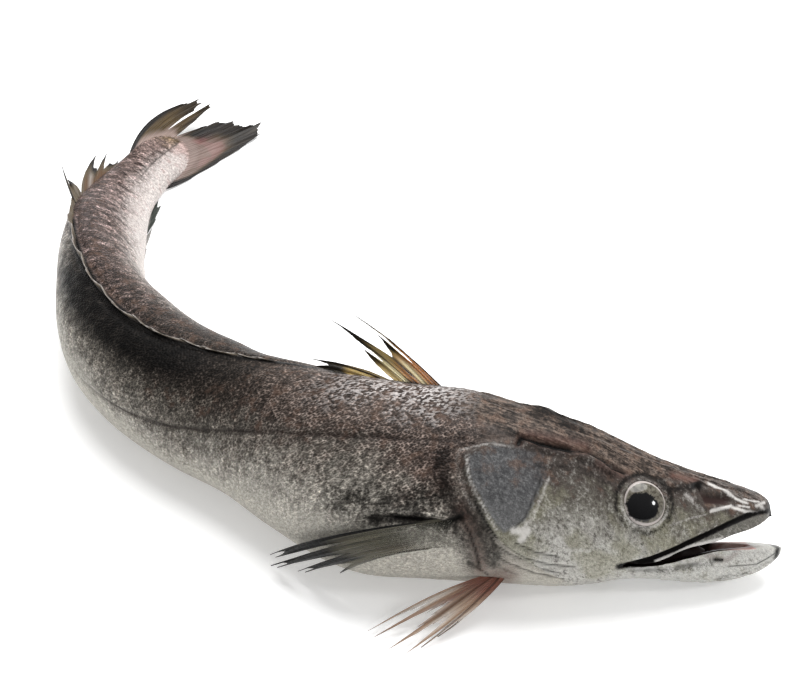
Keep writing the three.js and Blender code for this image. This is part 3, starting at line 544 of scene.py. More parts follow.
LIPS_END = 4
lining = []
for face in body.data.polygons:
    corners = list(face.vertices)
    if not is_skin[corners].all() and along[corners].min() > LIPS_END:
        lining.append(face.index)


def material(name):
    made = bpy.data.materials.new(name)
    made.use_nodes = True
    tree = made.node_tree
    return made, tree, tree.nodes["Principled BSDF"]


def feed(made, values):
    """Links values into a node's sockets by name or number, and sets sockets to constants."""
    for key, value in values.items():
        socket = made.inputs[key]
        if isinstance(value, bpy.types.NodeSocket):
            socket.id_data.links.new(value, socket)
        else:
            socket.default_value = (*value, 1) if socket.type == "RGBA" else value


def node(kind, inputs, tree=None, **settings):
    """A node in the tree that its inputs come from, or in the one named."""
    if tree is None:
        tree = next(value.id_data for value in inputs.values() if isinstance(value, bpy.types.NodeSocket))
    made = tree.nodes.new(kind)
    for key, value in settings.items():
        setattr(made, key, value)
    feed(made, inputs)
    return made


def value_of(tree, name):
    return node("ShaderNodeAttribute", {}, tree, attribute_name=name).outputs["Fac"]


def math_of(operation, *values):
    return node("ShaderNodeMath", dict(enumerate(values)), operation=operation).outputs[0]


def times(first, *others):
    for other in others:
        first = math_of("MULTIPLY", first, other)
    return first


def swing(texture, amount, about=0.0):
    """A value moved up and down by a noise."""
    return math_of("MULTIPLY_ADD", math_of("SUBTRACT", texture, 0.5), amount, about)


def ranged(value, low, high, to_low=0.0, to_high=1.0):
    inputs = {"Value": value, "From Min": low, "From Max": high, "To Min": to_low, "To Max": to_high}
    return node("ShaderNodeMapRange", inputs, interpolation_type="SMOOTHSTEP").outputs[0]


def mixed(share, first, second, blend="MIX"):
    inputs = {0: share, 6: first, 7: second}
    return node("ShaderNodeMix", inputs, data_type="RGBA", blend_type=blend, clamp_factor=True).outputs[2]


def layered(colour, *layers):
    """A colour with others laid over it, each given with the share that it takes."""
    for share, over in layers:
        colour = mixed(share, colour, over)
    return colour


def shaded(colour, value):
    """A colour made lighter or darker by a value."""
    grey = node("ShaderNodeCombineColor", {0: value, 1: value, 2: value}).outputs[0]
    return mixed(1.0, colour, grey, "MULTIPLY")


def place_of(x, y):
    return node("ShaderNodeCombineXYZ", {0: x, 1: y}).outputs[0]


def noise(vector, scale, detail=3.0, rough=0.55, warp=0.0):
    inputs = {"Vector": vector, "Scale": scale, "Detail": detail, "Roughness": rough, "Distortion": warp}
    return node("ShaderNodeTexNoise", inputs).outputs["Fac"]


def bumped(height, strength, distance):
    return node("ShaderNodeBump", {"Height": height, "Strength": strength, "Distance": distance}).outputs[0]


def group(name, inputs, outputs, colours=()):
    made = bpy.data.node_groups.new(name, "ShaderNodeTree")
    for way, labels in (("INPUT", inputs), ("OUTPUT", outputs)):
        for label in labels:
            kind = "NodeSocketColor" if label in colours else "NodeSocketFloat"
            made.interface.new_socket(name=label, in_out=way, socket_type=kind)
    return made, made.nodes.new("NodeGroupInput").outputs, made.nodes.new("NodeGroupOutput")


def from_group(tree, which, **values):
    named = {key.replace("_", " ").title(): value for key, value in values.items()}
    return node("ShaderNodeGroup", named, tree, node_tree=which).outputs


# Small overlapping scales: a leaning lattice of cells, each with its own shade, dark in the
# middle and pale at its edge.
SLANT = 0.9
scales, given, result = group("small_scales", ["Along", "Around", "Length", "Width"], ["Shade", "Edge", "Height"])
from_back = math_of("ABSOLUTE", given["Around"])
slanted = math_of("MULTIPLY_ADD", from_back, SLANT, given["Along"])
upright = math_of("MULTIPLY_ADD", given["Along"], -SLANT, from_back)
lattice = place_of(math_of("DIVIDE", slanted, given["Length"]), math_of("DIVIDE", upright, given["Width"]))
inputs = {"Vector": lattice, "Scale": 1.0, "Randomness": 0.85}
cells = node("ShaderNodeTexVoronoi", inputs, voronoi_dimensions="2D").outputs
feed(result, {
    "Shade": node("ShaderNodeSeparateColor", {0: cells["Color"]}).outputs[0],
    "Edge": ranged(cells["Distance"], 0.25, 0.62), "Height": ranged(cells["Distance"], 0.1, 0.8, 1.0, 0.0),
})

# Skin colour between back, flank and belly, with an uneven border between them.
pattern, given, result = group(
    "back_to_belly", ["Back", "Flank", "Belly", "To Back", "To Belly", "Softness"], ["Color"],
    colours=("Back", "Flank", "Belly", "Color"),
)
low = times(given["Softness"], -1.0)
is_back, is_belly = (ranged(given[name], low, given["Softness"]) for name in ("To Back", "To Belly"))
feed(result, {"Color": mixed(is_belly, mixed(is_back, given["Flank"], given["Back"]), given["Belly"])})

BLACK, BACK, FLANK, BELLY = (0.0035, 0.003, 0.0027), (0.03, 0.024, 0.02), (0.15, 0.135, 0.115), (0.4, 0.38, 0.335)
SHOULDER_BACK, SHOULDER_FLANK, NAPE_PAINTED_HIGHLIGHT = (0.085, 0.066, 0.057), (0.2, 0.182, 0.158), (0.5, 0.47, 0.46)
TAIL_BACK, TAIL_FLANK, TAIL_BELLY = (0.068, 0.047, 0.042), (0.13, 0.094, 0.084), (0.47, 0.43, 0.41)
TAIL_DARK, TAIL_PINK, TAIL_ROOT_SKIN = (0.035, 0.022, 0.02), (0.27, 0.2, 0.19), (0.2, 0.145, 0.13)
FIN_ROOT_UPPER, FIN_ROOT_LOWER = (0.12, 0.085, 0.055), (0.33, 0.24, 0.22)
CHEEK_DARK, CHEEK, CHEEK_PALE = (0.052, 0.043, 0.038), (0.14, 0.132, 0.112), (0.4, 0.39, 0.36)
CROWN_DARK, CROWN_TAN, CROWN_GREY = (0.016, 0.012, 0.01), (0.15, 0.115, 0.094), (0.13, 0.118, 0.11)
SLATE, SLATE_BROWN, SLATE_LIGHT = (0.075, 0.075, 0.077), (0.035, 0.026, 0.023), (0.13, 0.13, 0.13)
SLATE_DARK, SLATE_LOW = (0.035, 0.035, 0.037), (0.15, 0.15, 0.15)
PALE, WARM, WARM_PATCH = (0.6, 0.58, 0.555), (0.1, 0.053, 0.042), (0.12, 0.075, 0.055)
GREEN_TINT, LIP, JAW = (0.23, 0.222, 0.155), (0.12, 0.115, 0.103), (0.44, 0.435, 0.41)
NOSTRIL_SKIN, LATERAL_SKIN = (0.03, 0.018, 0.016), (0.012, 0.008, 0.007)

skin, tree, surface = material("skin")
given = {name: value_of(tree, name) for name in skin_values}
along_s, below_s, pale_s, dark_and_shadow_s = (given[name] for name in ("along", "below", "pale", "dark"))
place = place_of(along_s, given["around"])
cells = from_group(tree, scales, along=along_s, around=given["around"], length=1.15, width=0.9)
broad, patchy = noise(place, 0.07), noise(place, 0.24, 4, 0.62)
fine, grit = noise(place, 0.9, 3, 0.65), noise(place, 2.6, 2, 0.6)
lengthwise = node("ShaderNodeVectorMath", {0: place, 1: (0.13, 1, 1)}, operation="MULTIPLY").outputs[0]
slanting = node("ShaderNodeMapping", {"Vector": place, "Rotation": (0, 0, 0.9), "Scale": (1, 0.45, 1)}).outputs[0]
mottle = noise(slanting, 0.42, 5, 0.7, 0.6)
drift = swing(patchy, 0.3, swing(broad, 0.22))
to_back, to_belly = math_of("ADD", given["to_back"], drift), math_of("SUBTRACT", given["to_belly"], drift)
mottle_fine = math_of("ADD", mottle, fine)


def three_tones(back, flank, belly, softness):
    return from_group(tree, pattern, back=back, flank=flank, belly=belly, to_back=to_back, to_belly=to_belly,
                      softness=softness)["Color"]


trunk_tones = [mixed(given["nearer"], BACK, SHOULDER_BACK), mixed(given["nearer"], FLANK, SHOULDER_FLANK), BELLY]
tail = layered(
    three_tones(TAIL_BACK, TAIL_FLANK, TAIL_BELLY, 0.24),
    (times(ranged(mottle, 0.5, 0.36), ranged(to_belly, 0.1, -0.1, 0.1, 0.9)), TAIL_DARK),
    (times(ranged(mottle, 0.52, 0.68), 0.75), TAIL_PINK),
)
on_left_tail = times(ranged(along_s, 170, 330), ranged(given["to_right"], 1, 0))
coat = layered(
    three_tones(*trunk_tones, 0.13),
    (math_of("MAXIMUM", on_left_tail, ranged(along_s, 250, 345)), tail),
    # the saddle's black is painted shade
    (times(given["painted_shade_saddle"], ranged(patchy, 0.2, 0.6, 0.8, 1)), BLACK),
    (times(ranged(along_s, 362, 376), ranged(below_s, 0.5, 0.3, 0.15, 0.9)), TAIL_ROOT_SKIN),
    (ranged(swing(patchy, 14, along_s), 374, 384), mixed(ranged(below_s, 0.42, 0.56), FIN_ROOT_UPPER, FIN_ROOT_LOWER)),
)

# Each scale is lighter or darker than its neighbours; the specks are strongest on the back, where their pale edges are
# painted glints of lit scale edges.
strength = times(ranged(to_belly, -0.08, 0.12, 1, 0.22), ranged(along_s, 88, 100))
scale_speck_and_glint = times(cells["Shade"], cells["Edge"])
scale_speck_and_glint = math_of("MULTIPLY_ADD", scale_speck_and_glint, ranged(to_back, -0.12, 0.1, 1, 2.1), ranged(to_back, -0.12, 0.1, 0.72, 0.45))
scale_speck_and_glint = times(scale_speck_and_glint, ranged(fine, 0.35, 0.65, 0.55, 1.4), ranged(mottle, 0.36, 0.66, 0.6, 1.5),
              ranged(broad, 0.38, 0.62, 0.85, 1.15))
coat = mixed(strength, coat, shaded(coat, scale_speck_and_glint))
# Pale specks on the top of the back behind the head are a painted highlight.
nape_painted_highlight = times(ranged(along_s, 86, 100), ranged(along_s, 152, 118), ranged(math_of("ADD", below_s, drift), 0.3, 0.1),
             ranged(times(cells["Shade"], fine), 0.18, 0.4), 0.85)
coat = mixed(nape_painted_highlight, coat, NAPE_PAINTED_HIGHLIGHT)

# The head: mottled cheeks, slate gill plate, streaked crown.
cheek = layered(
    three_tones(CHEEK_DARK, CHEEK, CHEEK_PALE, 0.12),
    (times(ranged(mottle_fine, 1.02, 1.25, 0, 0.55), ranged(to_back, 0.12, -0.1, 0.38, 1)), CHEEK_PALE),
    (ranged(mottle_fine, 0.98, 0.78, 0, 0.65), CHEEK_DARK),
    (times(ranged(broad, 0.45, 0.6, 0, 0.5), ranged(to_back, 0.1, -0.05)), GREEN_TINT),
)
streaks = swing(fine, 0.45, noise(lengthwise, 1, 5, 0.72, 1))
crown = layered(
    mixed(ranged(streaks, 0.4, 0.63), CROWN_DARK, CROWN_TAN),
    (ranged(along_s, 46, 20, 0, 0.8), mixed(ranged(streaks, 0.4, 0.62), CROWN_DARK, CROWN_GREY)),
    (ranged(patchy, 0.55, 0.35, 0, 0.8), CROWN_DARK),
)
slate = layered(
    mixed(ranged(fine, 0.45, 0.65, 0, 0.7), SLATE, SLATE_LIGHT),
    (ranged(mottle, 0.5, 0.35, 0, 0.6), SLATE_DARK),
    (times(ranged(along_s, 84, 74, 0, 0.8), ranged(to_back, 0, 0.2)), SLATE_BROWN),
    (ranged(below_s, 0.47, 0.62, 0, 0.55), SLATE_LOW),
)
warm_patch = times(ranged(patchy, 0.5, 0.68, 0, 0.5), ranged(to_back, 0, 0.12), ranged(given["painted_shade_saddle"], 0.4, 0))
coat = layered(
    coat, (given["head"], cheek),
    (times(given["jaw"], ranged(math_of("ADD", patchy, mottle), 0.85, 1.05, 0.35, 0.95)), JAW),
    (times(given["lip"], ranged(fine, 0.4, 0.62, 1, 0.6)), LIP), (given["crown"], crown),
    (ranged(swing(fine, 2.5, given["plate"]), -0.6, 0.8), slate), (warm_patch, WARM_PATCH),
)
grain = times(ranged(grit, 0.34, 0.66, 0.78, 1.22), ranged(fine, 0.34, 0.66, 0.84, 1.16))
coat = mixed(ranged(strength, 0.4, 1, 1, 0.35), coat, shaded(coat, grain))

# Marks with ragged edges: painted shade and painted shadows in the folds, pale ridges, dark slits and the lateral
# line.
ragged = swing(grit, 0.8, swing(fine, 0.9))
pale_s = math_of("MULTIPLY_ADD", ragged, ranged(pale_s, 0, 0.3, 0, 0.6), pale_s)
dark_and_shadow_s = math_of("MULTIPLY_ADD", ragged, ranged(dark_and_shadow_s, 0, 0.3, 0, 0.8), dark_and_shadow_s)
uneven = math_of("SUBTRACT", 1, mottle_fine)
painted_shade_s = math_of("MULTIPLY_ADD", uneven, ranged(given["painted_shade"], 0, 0.4), given["painted_shade"])
coat = layered(coat, (given["nostril"], NOSTRIL_SKIN), (times(given["warm"], ranged(fine, 0.3, 0.6, 0.5, 1)), WARM))
coat = layered(
    coat, (ranged(painted_shade_s, 0, 0.95), mixed(0.88, coat, BLACK)), (times(ranged(pale_s, 0.1, 0.95), 0.85), PALE),
    (ranged(dark_and_shadow_s, 0.15, 0.85), BLACK), (times(given["lateral"], ranged(fine, 0.3, 0.6, 0.55, 0.95)), LATERAL_SKIN),
)
bumps = math_of("MULTIPLY_ADD", fine, 0.9, times(cells["Height"], strength))
feed(surface, {
    "Base Color": coat, "Roughness": ranged(patchy, 0.3, 0.7, 0.34, 0.52), "Specular IOR Level": 0.05,
    "Coat Weight": 0.02, "Coat Roughness": 0.3, "Normal": bumped(bumps, 0.32, 0.0006),
})

# Deep behind the front of the mouth the lining turns black: painted shade.
MOUTH_DEEP_SHADE, LINING_DARK, LINING_PALE = (0.012, 0.007, 0.006), (0.3, 0.16, 0.145), (0.5, 0.38, 0.35)
mouth, tree, surface = material("mouth_lining")
inner = noise(node("ShaderNodeTexCoord", {}, tree).outputs["Object"], 260)
lining_tone = mixed(ranged(inner, 0.35, 0.65), LINING_DARK, LINING_PALE)
feed(surface, {
    "Base Color": mixed(ranged(value_of(tree, "along"), 12, 18), lining_tone, MOUTH_DEEP_SHADE),
    "Roughness": ranged(inner, 0.3, 0.7, 0.35, 0.5), "Specular IOR Level": 0.05, "Normal": bumped(inner, 0.4, 0.0006),
})

body.data.materials.clear()
body.data.materials.append(skin)
body.data.materials.append(mouth)
index = np.zeros(len(body.data.polygons), np.int32)
index[lining] = 1
body.data.polygons.foreach_set("material_index", index)
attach(body, "root")
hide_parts("fish")

# ---------------------------------------------------------------- the tongue
# The tongue and floor of the mouth are soft flesh, joined to the lower jaw behind the open front. They lie deep in the
# mouth and take the lining's black painted shade.
TONGUE = [
    (20, -5, -8.8, 0.8, -7, 2), (22, -4, -9.6, 3, -7.4, 2), (25, -3, -10.6, 4.6, -7.6, 2), (28, -2, -11.6, 5.6, -8, 2),
    (36, -4.6, -13.8, 5.6, -10, 2), (42, -8, -14.8, 4.4, -12, 2), (45, -11, -14, 2, -12.6, 2),
]
LINING_SHIFT = 10


def points_of(obj):
    return np.array([vertex.co for vertex in obj.data.vertices])


tongue = loft("tongue", np.arange(20, 45.1, 0.5), sections_of(TONGUE), 64)
points = points_of(tongue)
points[:, 2] += 0.25 * waves(points[:, 0], points[:, 1], 21, 6)
write_mesh(tongue, bend(*points.T))
write_values(tongue, along=points[:, 0] + LINING_SHIFT)
tongue.data.materials.append(mouth)
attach(tongue, "root")
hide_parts("fish")

# ---------------------------------------------------------------- the eyes
# Each eye is a clear bulging cornea over a grey iris with a round black pupil, held in its
# socket by the rim of skin round it. The solid eyeball keeps its place and size.

IRIS_DARK, IRIS_GREY, IRIS_RIM = (0.04, 0.034, 0.025), (0.13, 0.12, 0.095), (0.4, 0.36, 0.34)
EYE_EDGE, PUPIL_BLACK = (0.05, 0.04, 0.035), (0.0015, 0.0015, 0.002)
PUPIL_AHEAD, PUPIL_ABOVE, PUPIL_LONG, PUPIL_HIGH = -0.9, -1.4, 4.9, 4.2
for side, name in ((-1, "eye_right"), (1, "eye_left")):
    eyeball = eye_lens(name + "_ball", side, -0.02, 160, 48)
    points = points_of(eyeball)
    seat, out = eye_seat(side)
    offset = points - seat
    flatwise = offset - (offset @ out)[:, None] * out
    ahead, above = -flatwise[:, 0], flatwise[:, 2]
    write_mesh(eyeball, bend(*points.T))
    write_values(
        eyeball, rim=np.linalg.norm(flatwise, axis=1) / EYE_RADIUS, turned=np.arctan2(above, ahead),
        pupil=np.hypot((ahead - PUPIL_AHEAD) / PUPIL_LONG, (above - PUPIL_ABOVE) / PUPIL_HIGH),
    )

    eye_skin, tree, surface = material(name + "_iris")
    rim = value_of(tree, "rim")
    fibres = noise(place_of(value_of(tree, "turned"), rim), 4, 4, 0.65)
    iris = layered(
        mixed(ranged(fibres, 0.35, 0.62), IRIS_DARK, IRIS_GREY),
        (ranged(rim, 0.84, 0.9), IRIS_RIM), (ranged(rim, 0.97, 1), EYE_EDGE))
    iris = mixed(ranged(swing(fibres, 0.5, value_of(tree, "pupil")), 0.92, 1.03), PUPIL_BLACK, iris)
    feed(surface, {
        "Base Color": iris, "Roughness": ranged(fibres, 0.3, 0.7, 0.1, 0.16), "Specular IOR Level": 0.1,
        "Coat Weight": 0.45, "Coat Roughness": 0.03,
    })
    eyeball.data.materials.append(eye_skin)
    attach(eyeball, "root")
    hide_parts(name)

# ---------------------------------------------------------------- the fins
# A fin is a thin wet skin held out by soft jointed rays that split towards their tips. The
# middle fins stand in the plane of the body; the paired fins grow from the flanks and lie
# where they fell.

MIDDLE = np.array([-2.836, -7.025, 0])
RAY_HALF, WEB_HALF, FIN_REST = 0.42, 0.1, 0.15


def fin_sheet(name, finish, rays, webs, colours, per_gap=12, rows=48, placed=False, scallop=1.3, fray=0.06, seed=1):
    """A closed thin sheet over rays given by root, middle and tip, its edge drawn in between them."""
    draw = np.random.default_rng(seed)
    gaps = len(rays) - 1
    rays = np.array(rays, float)
    columns = gaps * per_gap + 1
    p = np.arange(columns) / per_gap
    i = np.minimum(p.astype(int), gaps - 1)
    f = p - i
    web = np.array(webs)[i]
    share = web + (1 - web) * np.abs(2 * f - 1) ** scallop
    frayed = draw.random(columns) * (np.abs(f - 0.5) < 0.46)
    share = share * (1 - fray * frayed)
    t = np.linspace(0, 1, rows + 1)[None, :] * share[:, None]
    t3 = t[..., None]
    path = lambda r: r[:, :1] * (1 - t3) ** 2 + r[:, 1:2] * 2 * t3 * (1 - t3) + r[:, 2:] * t3 ** 2
    sheet = path(rays[i]) * (1 - f)[:, None, None] + path(rays[i + 1]) * f[:, None, None]
    if not placed:
        sheet = bend(*np.moveaxis(sheet, 2, 0))
    main = bump((f - np.round(f))[:, None] + 0 * t, 0.12)
    split = np.clip(t - 0.3, 0, 1) * 0.3
    for place in (1 / 3, 2 / 3):
        for way in (-1, 1):
            main = np.maximum(main, 0.7 * bump((f - place)[:, None] + way * split, 0.08))
    half = (WEB_HALF + (RAY_HALF - WEB_HALF) * main) * (1 - 0.6 * t)
    normal = np.cross(np.gradient(sheet, axis=0), np.gradient(sheet, axis=1))
    normal /= np.linalg.norm(normal, axis=2)[..., None] + 1e-12
    slack = 0.35 * np.sin(p[:, None] * 2 * math.pi + 0.8 * np.sin(3 * t)) * t
    sheet = sheet + normal * slack[..., None]
    sheet[..., 2] = settled(sheet[..., 2], half + FIN_REST, 0.5)
    front, back = sheet + normal * half[..., None], sheet - normal * half[..., None]
    points = np.vstack([front.reshape(-1, 3), back.reshape(-1, 3)])
    count, down = columns * (rows + 1), rows + 1
    column, row = np.arange(columns - 1)[:, None] * down, np.arange(rows)[:, None]
    cell = (column + row.T).reshape(-1, 1)
    last = (columns - 1) * down + row
    faces = np.vstack([
        cell + [0, down, down + 1, 1], cell + [count, count + 1, count + down + 1, count + down],
        column + [down, 0, count, count + down], column + rows + [0, down, count + down, count],
        row + [0, 1, count + 1, count], last + [1, 0, count, count + 1],
    ]).tolist()
    fin = mesh_object(name, points, faces)
    write_mesh(fin, points)
    number, reach = p[:, None] + 0 * t, np.linspace(0, 1, rows + 1)[None] + 0 * t
    shares = dict.fromkeys(("warm", "dark", "pale", "faint"), 0) | colours(number, t, reach)
    values = {"ray": main, "out": t, "number": number}
    values |= {key: np.clip(value, 0, 1) for key, value in shares.items()}
    write_values(fin, **{key: np.tile(np.broadcast_to(value, t.shape).ravel(), 2) for key, value in values.items()})
    fin.data.materials.append(finish)
    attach(fin, "root")
    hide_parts("fish")


def middle_rays(rows):
    """Rays in the plane of the body, from rows of root, tip, how far they bow up and lean to the left."""
    return [[(a, 0, b), ((a + c) / 2, sway / 2, (b + d) / 2 + bow), (c, sway, d)] for a, b, c, d, bow, sway in rows]


def side_rays(rows):
    """Rays from a root on the straight fish, past a bend to a tip, both given where the fish lies."""
    return [[bend(*row[:3]), row[3:6] - MIDDLE, row[6:] - MIDDLE] for row in np.array(rows, float)]


# Streaks that run along the rays, and the joints of the rays.
fin_grain, given, result = group("fin_grain", ["Number", "Out", "Joints"], ["Patch", "Streak", "Joint"])
feed(result, {
    "Patch": noise(place_of(given["Number"], given["Out"]), 2.6, 4, 0.6),
    "Streak": noise(place_of(times(given["Number"], 7), given["Out"]), 1.3, 4, 0.7, 0.3),
    "Joint": ranged(math_of("SINE", times(given["Out"], given["Joints"])), -0.9, -0.3),
})


def fin_material(name, web, ray, warm, dark, pale, web_alpha, joints=160.0, ray_strength=0.7):
    made, tree, surface = material(name)
    given = {key: value_of(tree, key) for key in ("ray", "number", "out", "warm", "pale", "dark", "faint")}
    grain = from_group(tree, fin_grain, number=given["number"], out=given["out"], joints=joints)
    rough_edge = ranged(grain["Streak"], 0.3, 0.6, 0.82, 1.1)
    tone = layered(
        mixed(ranged(grain["Patch"], 0.35, 0.65), web, tuple((a + b) / 2 for a, b in zip(web, ray))),
        (ranged(grain["Streak"], 0.45, 0.62, 0, 0.75), ray), (times(given["ray"], ray_strength), ray),
        *((times(given[key], rough_edge), colour) for key, colour in (("warm", warm), ("pale", pale), ("dark", dark))),
    )
    cover = ranged(math_of("MULTIPLY_ADD", grain["Streak"], 0.5, given["ray"]), 0.25, 0.8, web_alpha, 1)
    cover = math_of("MAXIMUM", cover, times(given["dark"], 0.95))
    height = math_of("MULTIPLY_ADD", grain["Streak"], 0.6, times(grain["Joint"], given["ray"]))
    feed(surface, {
        "Base Color": tone, "Roughness": ranged(grain["Patch"], 0.3, 0.7, 0.3, 0.45), "Specular IOR Level": 0.15,
        "Alpha": times(cover, ranged(given["faint"], 0, 1, 1, 0.12)), "Coat Weight": 0.03,
        "Normal": bumped(height, 0.35, 0.0003),
    })
    return made


# The first dorsal fin: a red-brown front edge, pale yellow skin between blackish ray tips. Colours
# follow n, the number of the ray, t, the way out along the longest one, and r, the way to the edge.
first_dorsal_tone = fin_material(
    "first_dorsal", web=(0.56, 0.44, 0.17), ray=(0.26, 0.15, 0.04), warm=(0.42, 0.17, 0.055),
    dark=(0.008, 0.007, 0.006), pale=(0.85, 0.76, 0.46), web_alpha=0.75)
fin_sheet("first_dorsal_fin", first_dorsal_tone, middle_rays([
    (106.5, 29, 145, 47.4, 1.5, 0), (111.5, 28.5, 133.5, 41.4, 0.8, 0.4), (116, 28, 148, 42.8, 0.4, 1),
    (119, 27.5, 137, 35.8, 0, 1.4), (122, 27, 150, 29.6, 2, -1.6), (126, 26.5, 148, 27.8, 1.6, -2.4),
    (130, 26, 141, 26.6, 1, -3)]), [0.38, 0.52, 0.5, 0.12, 0.85, 0.9], lambda n, t, r: {
        "warm": smooth((2.5 - 2.2 * t - n) / 0.6 + 0.5) * fade(t, 0.7, -0.2)
        + 0.5 * fade(n, 3.8, 0.3) * fade(t, 0.35, -0.2),
        "dark": most(
            fade(n, 0.16, -0.1), bump(n - 1.5, 0.12) * fade(t, 0.15, 0.1), fade(t, 0.55, 0.15) * (n > 0.9),
            fade(t, 0.2, -0.12) * (0.55 + 0.45 * (n > 1.6)), bump(n - 2.1, 0.2) * fade(t, 0.3, 0.2),
            bump(n - 4, 0.14), 0.9 * fade(n, 5.4, 0.4)),
        "pale": 0.9 * bump(n - 1.2, 0.22) * fade(t, 0.6, -0.2) + 0.9 * bump(n - 2.5, 0.4) * fade(t, 0.75, -0.2),
        "faint": 0.8 * fade(n, 0.5, -0.3) * fade(t, 0.55, 0.1),
    }, seed=2)

# The second dorsal fin lies folded in its groove, with its hind rays free.
lobe_tone = fin_material(
    "second_dorsal", web=(0.13, 0.1, 0.066), ray=(0.06, 0.046, 0.03), warm=(0.12, 0.06, 0.03),
    dark=(0.012, 0.01, 0.01), pale=(0.36, 0.33, 0.31), web_alpha=0.85)
top_at, bottom_at = (lambda along, k=k: float(section_at(along)[k]) for k in (0, 1))
# The dotted pale edge of the folded fringe is a painted highlight on the lips of the groove.
fin_sheet("second_dorsal_fringe", lobe_tone, middle_rays(
    (a, top_at(a) - 1.5, a + 12, top_at(a + 12) + 0.5 + 1.6 * k / 14, 0.6, 0.8 if k % 2 else -0.5)
    for k, a in enumerate(np.linspace(156, 306, 15))), [0.85] * 14, lambda n, t, r: {
        "pale": fade(r, 0.86, 0.1) * (0.3 + 0.7 * (np.sin(n * 23) > -0.2)) * fade(n, 12.5, -2),
        "dark": 0.85 * fade(r, 0.8, -0.1) * fade(n, 12, -2),
    }, per_gap=10, rows=10, seed=3)
fin_sheet("second_dorsal_lobes", lobe_tone, middle_rays([
    (309, 14.5, 333, 27, 0.6, 0), (316, 14, 323, 21.5, 0, 0.5), (323, 12.5, 350, 18.2, 2.4, 0.8),
    (330, 11.5, 344, 15, 1.2, 0.4), (336, 11, 356.5, 16, 1, 0), (342, 10, 352, 12.6, 0.4, 0),
    (348, 9, 357, 10.8, 0.4, 0)]), [0.6, 0.2, 0.85, 0.6, 0.55, 0.8], lambda n, t, r: {
        "warm": 0.6 * fade(n, 1.6, 0.5) * fade(t, 0.6, -0.3), "pale": 0.5 * bump(n - 2.6, 0.3) * fade(t, 0.7, -0.2),
        "dark": most(fade(t, 0.6, 0.2), 0.8 * fade(n, 0.2, -0.1)),
    }, seed=4)

# The hind fin below: a low folded edge, and a dark lobe behind.
anal_tone = fin_material(
    "anal", web=(0.36, 0.34, 0.32), ray=(0.12, 0.12, 0.11), warm=(0.1, 0.09, 0.08),
    dark=(0.03, 0.036, 0.03), pale=(0.5, 0.48, 0.45), web_alpha=0.85)
fin_sheet("anal_fringe", anal_tone, middle_rays(
    (a, bottom_at(a) + 1.5, a + 12, bottom_at(a + 12) - 2, -0.6, 0.6 if k % 2 else -0.4)
    for k, a in enumerate(np.linspace(205, 322, 10))), [0.85] * 9, lambda n, t, r: {"pale": 0.4 * fade(t, 0.3, -0.2)},
    per_gap=8, rows=10, seed=5)
fin_sheet("anal_lobe", anal_tone, middle_rays([
    (322, -12.5, 332, -13.6, -0.4, 0), (327, -12, 341, -13.6, -0.6, 0), (333, -11, 350, -12, -0.6, 0),
    (339, -10, 352, -9.8, -0.2, 0)]), [0.85, 0.85, 0.8],
    lambda n, t, r: {"pale": 0.4 * fade(t, 0.3, -0.2), "dark": fade(t, 0.25, 0.2)}, seed=6)

# The tail fin: an olive upper lobe with dark edges, a lower one that runs from red to grey.
tail_tone = fin_material(
    "tail", web=(0.1, 0.066, 0.026), ray=(0.032, 0.021, 0.012), warm=(0.22, 0.075, 0.07),
    dark=(0.011, 0.01, 0.01), pale=(0.3, 0.23, 0.205), web_alpha=0.99, joints=260, ray_strength=0.5)
fin_sheet("tail_fin", tail_tone, middle_rays([
    (360, 8.5, 400, 12.2, 6.4, 0), (366, 8.5, 410, 9.4, 4.2, 0), (372, 8, 409.5, 7, 2.6, 0),
    (377, 7, 402, 6.4, 1.4, 0), (379, 6, 411, 4.8, 0.8, 0), (381, 5, 411.5, 3.2, 0.4, 0),
    (383, 3.6, 397, 2.8, 0.2, 0), (383.5, 2, 396, -0.8, 0.2, 0), (384, 0.8, 403, -3, 0, 0),
    (384, -0.8, 409, -7.6, 0, 0), (383.5, -2.4, 408.5, -10.4, 0, 0), (382, -4.4, 411, -13.6, 0, 0),
    (380, -6, 415.5, -16, 0, 0),
    (376, -7.6, 409.5, -19.4, -1.2, 0), (370, -8.6, 398, -18.6, -1.6, 0), (364, -8.6, 385, -17.2, -1.4, 0),
    (358, -8.4, 371, -14.4, -1, 0)]),
    [0.97, 0.96, 0.93, 0.25, 0.93, 0.88, 0.15, 0.97, 0.97, 0.96, 0.96, 0.97, 0.97, 0.97, 0.97, 0.97], lambda n, t, r: {
        "warm": 0.85 * fade(n, 8.5, 1.5) * fade(n, 15, -1.5) * fade(t, 0.62, -0.25)
        * (0.35 + 0.65 * (waves(n, t * 9, 9, 2.4) > 0)),
        "pale": most(
            0.9 * fade(t, 0.34, -0.24), 0.6 * fade(n, 9.5, 2) * fade(t, 0.62, -0.3),
            0.6 * bump(n - 3.5, 0.5) * fade(t, 0.5, -0.2), 0.9 * bump(n - 7, 0.35) * fade(t, 0.6, -0.2)),
        "dark": most(
            fade(n, 0.8, -0.5), 0.88 * fade(t, 0.4, 0.3) * (n > 7), 0.25 * (n > 7),
            0.95 * fade(t, 0.15, 0.2) * bump(n - 8.6, 2.2), 0.6 * fade(t, 0.45, 0.3) * bump(n - 2, 1),
            0.7 * fade(t, 0.6, 0.2) * (n < 7), fade(n, 14.8, 0.5), 0.65 * bump(n - 5.6, 0.5) * fade(t, 0.3, 0.2)),
    }, rows=60, fray=0.04, seed=7)

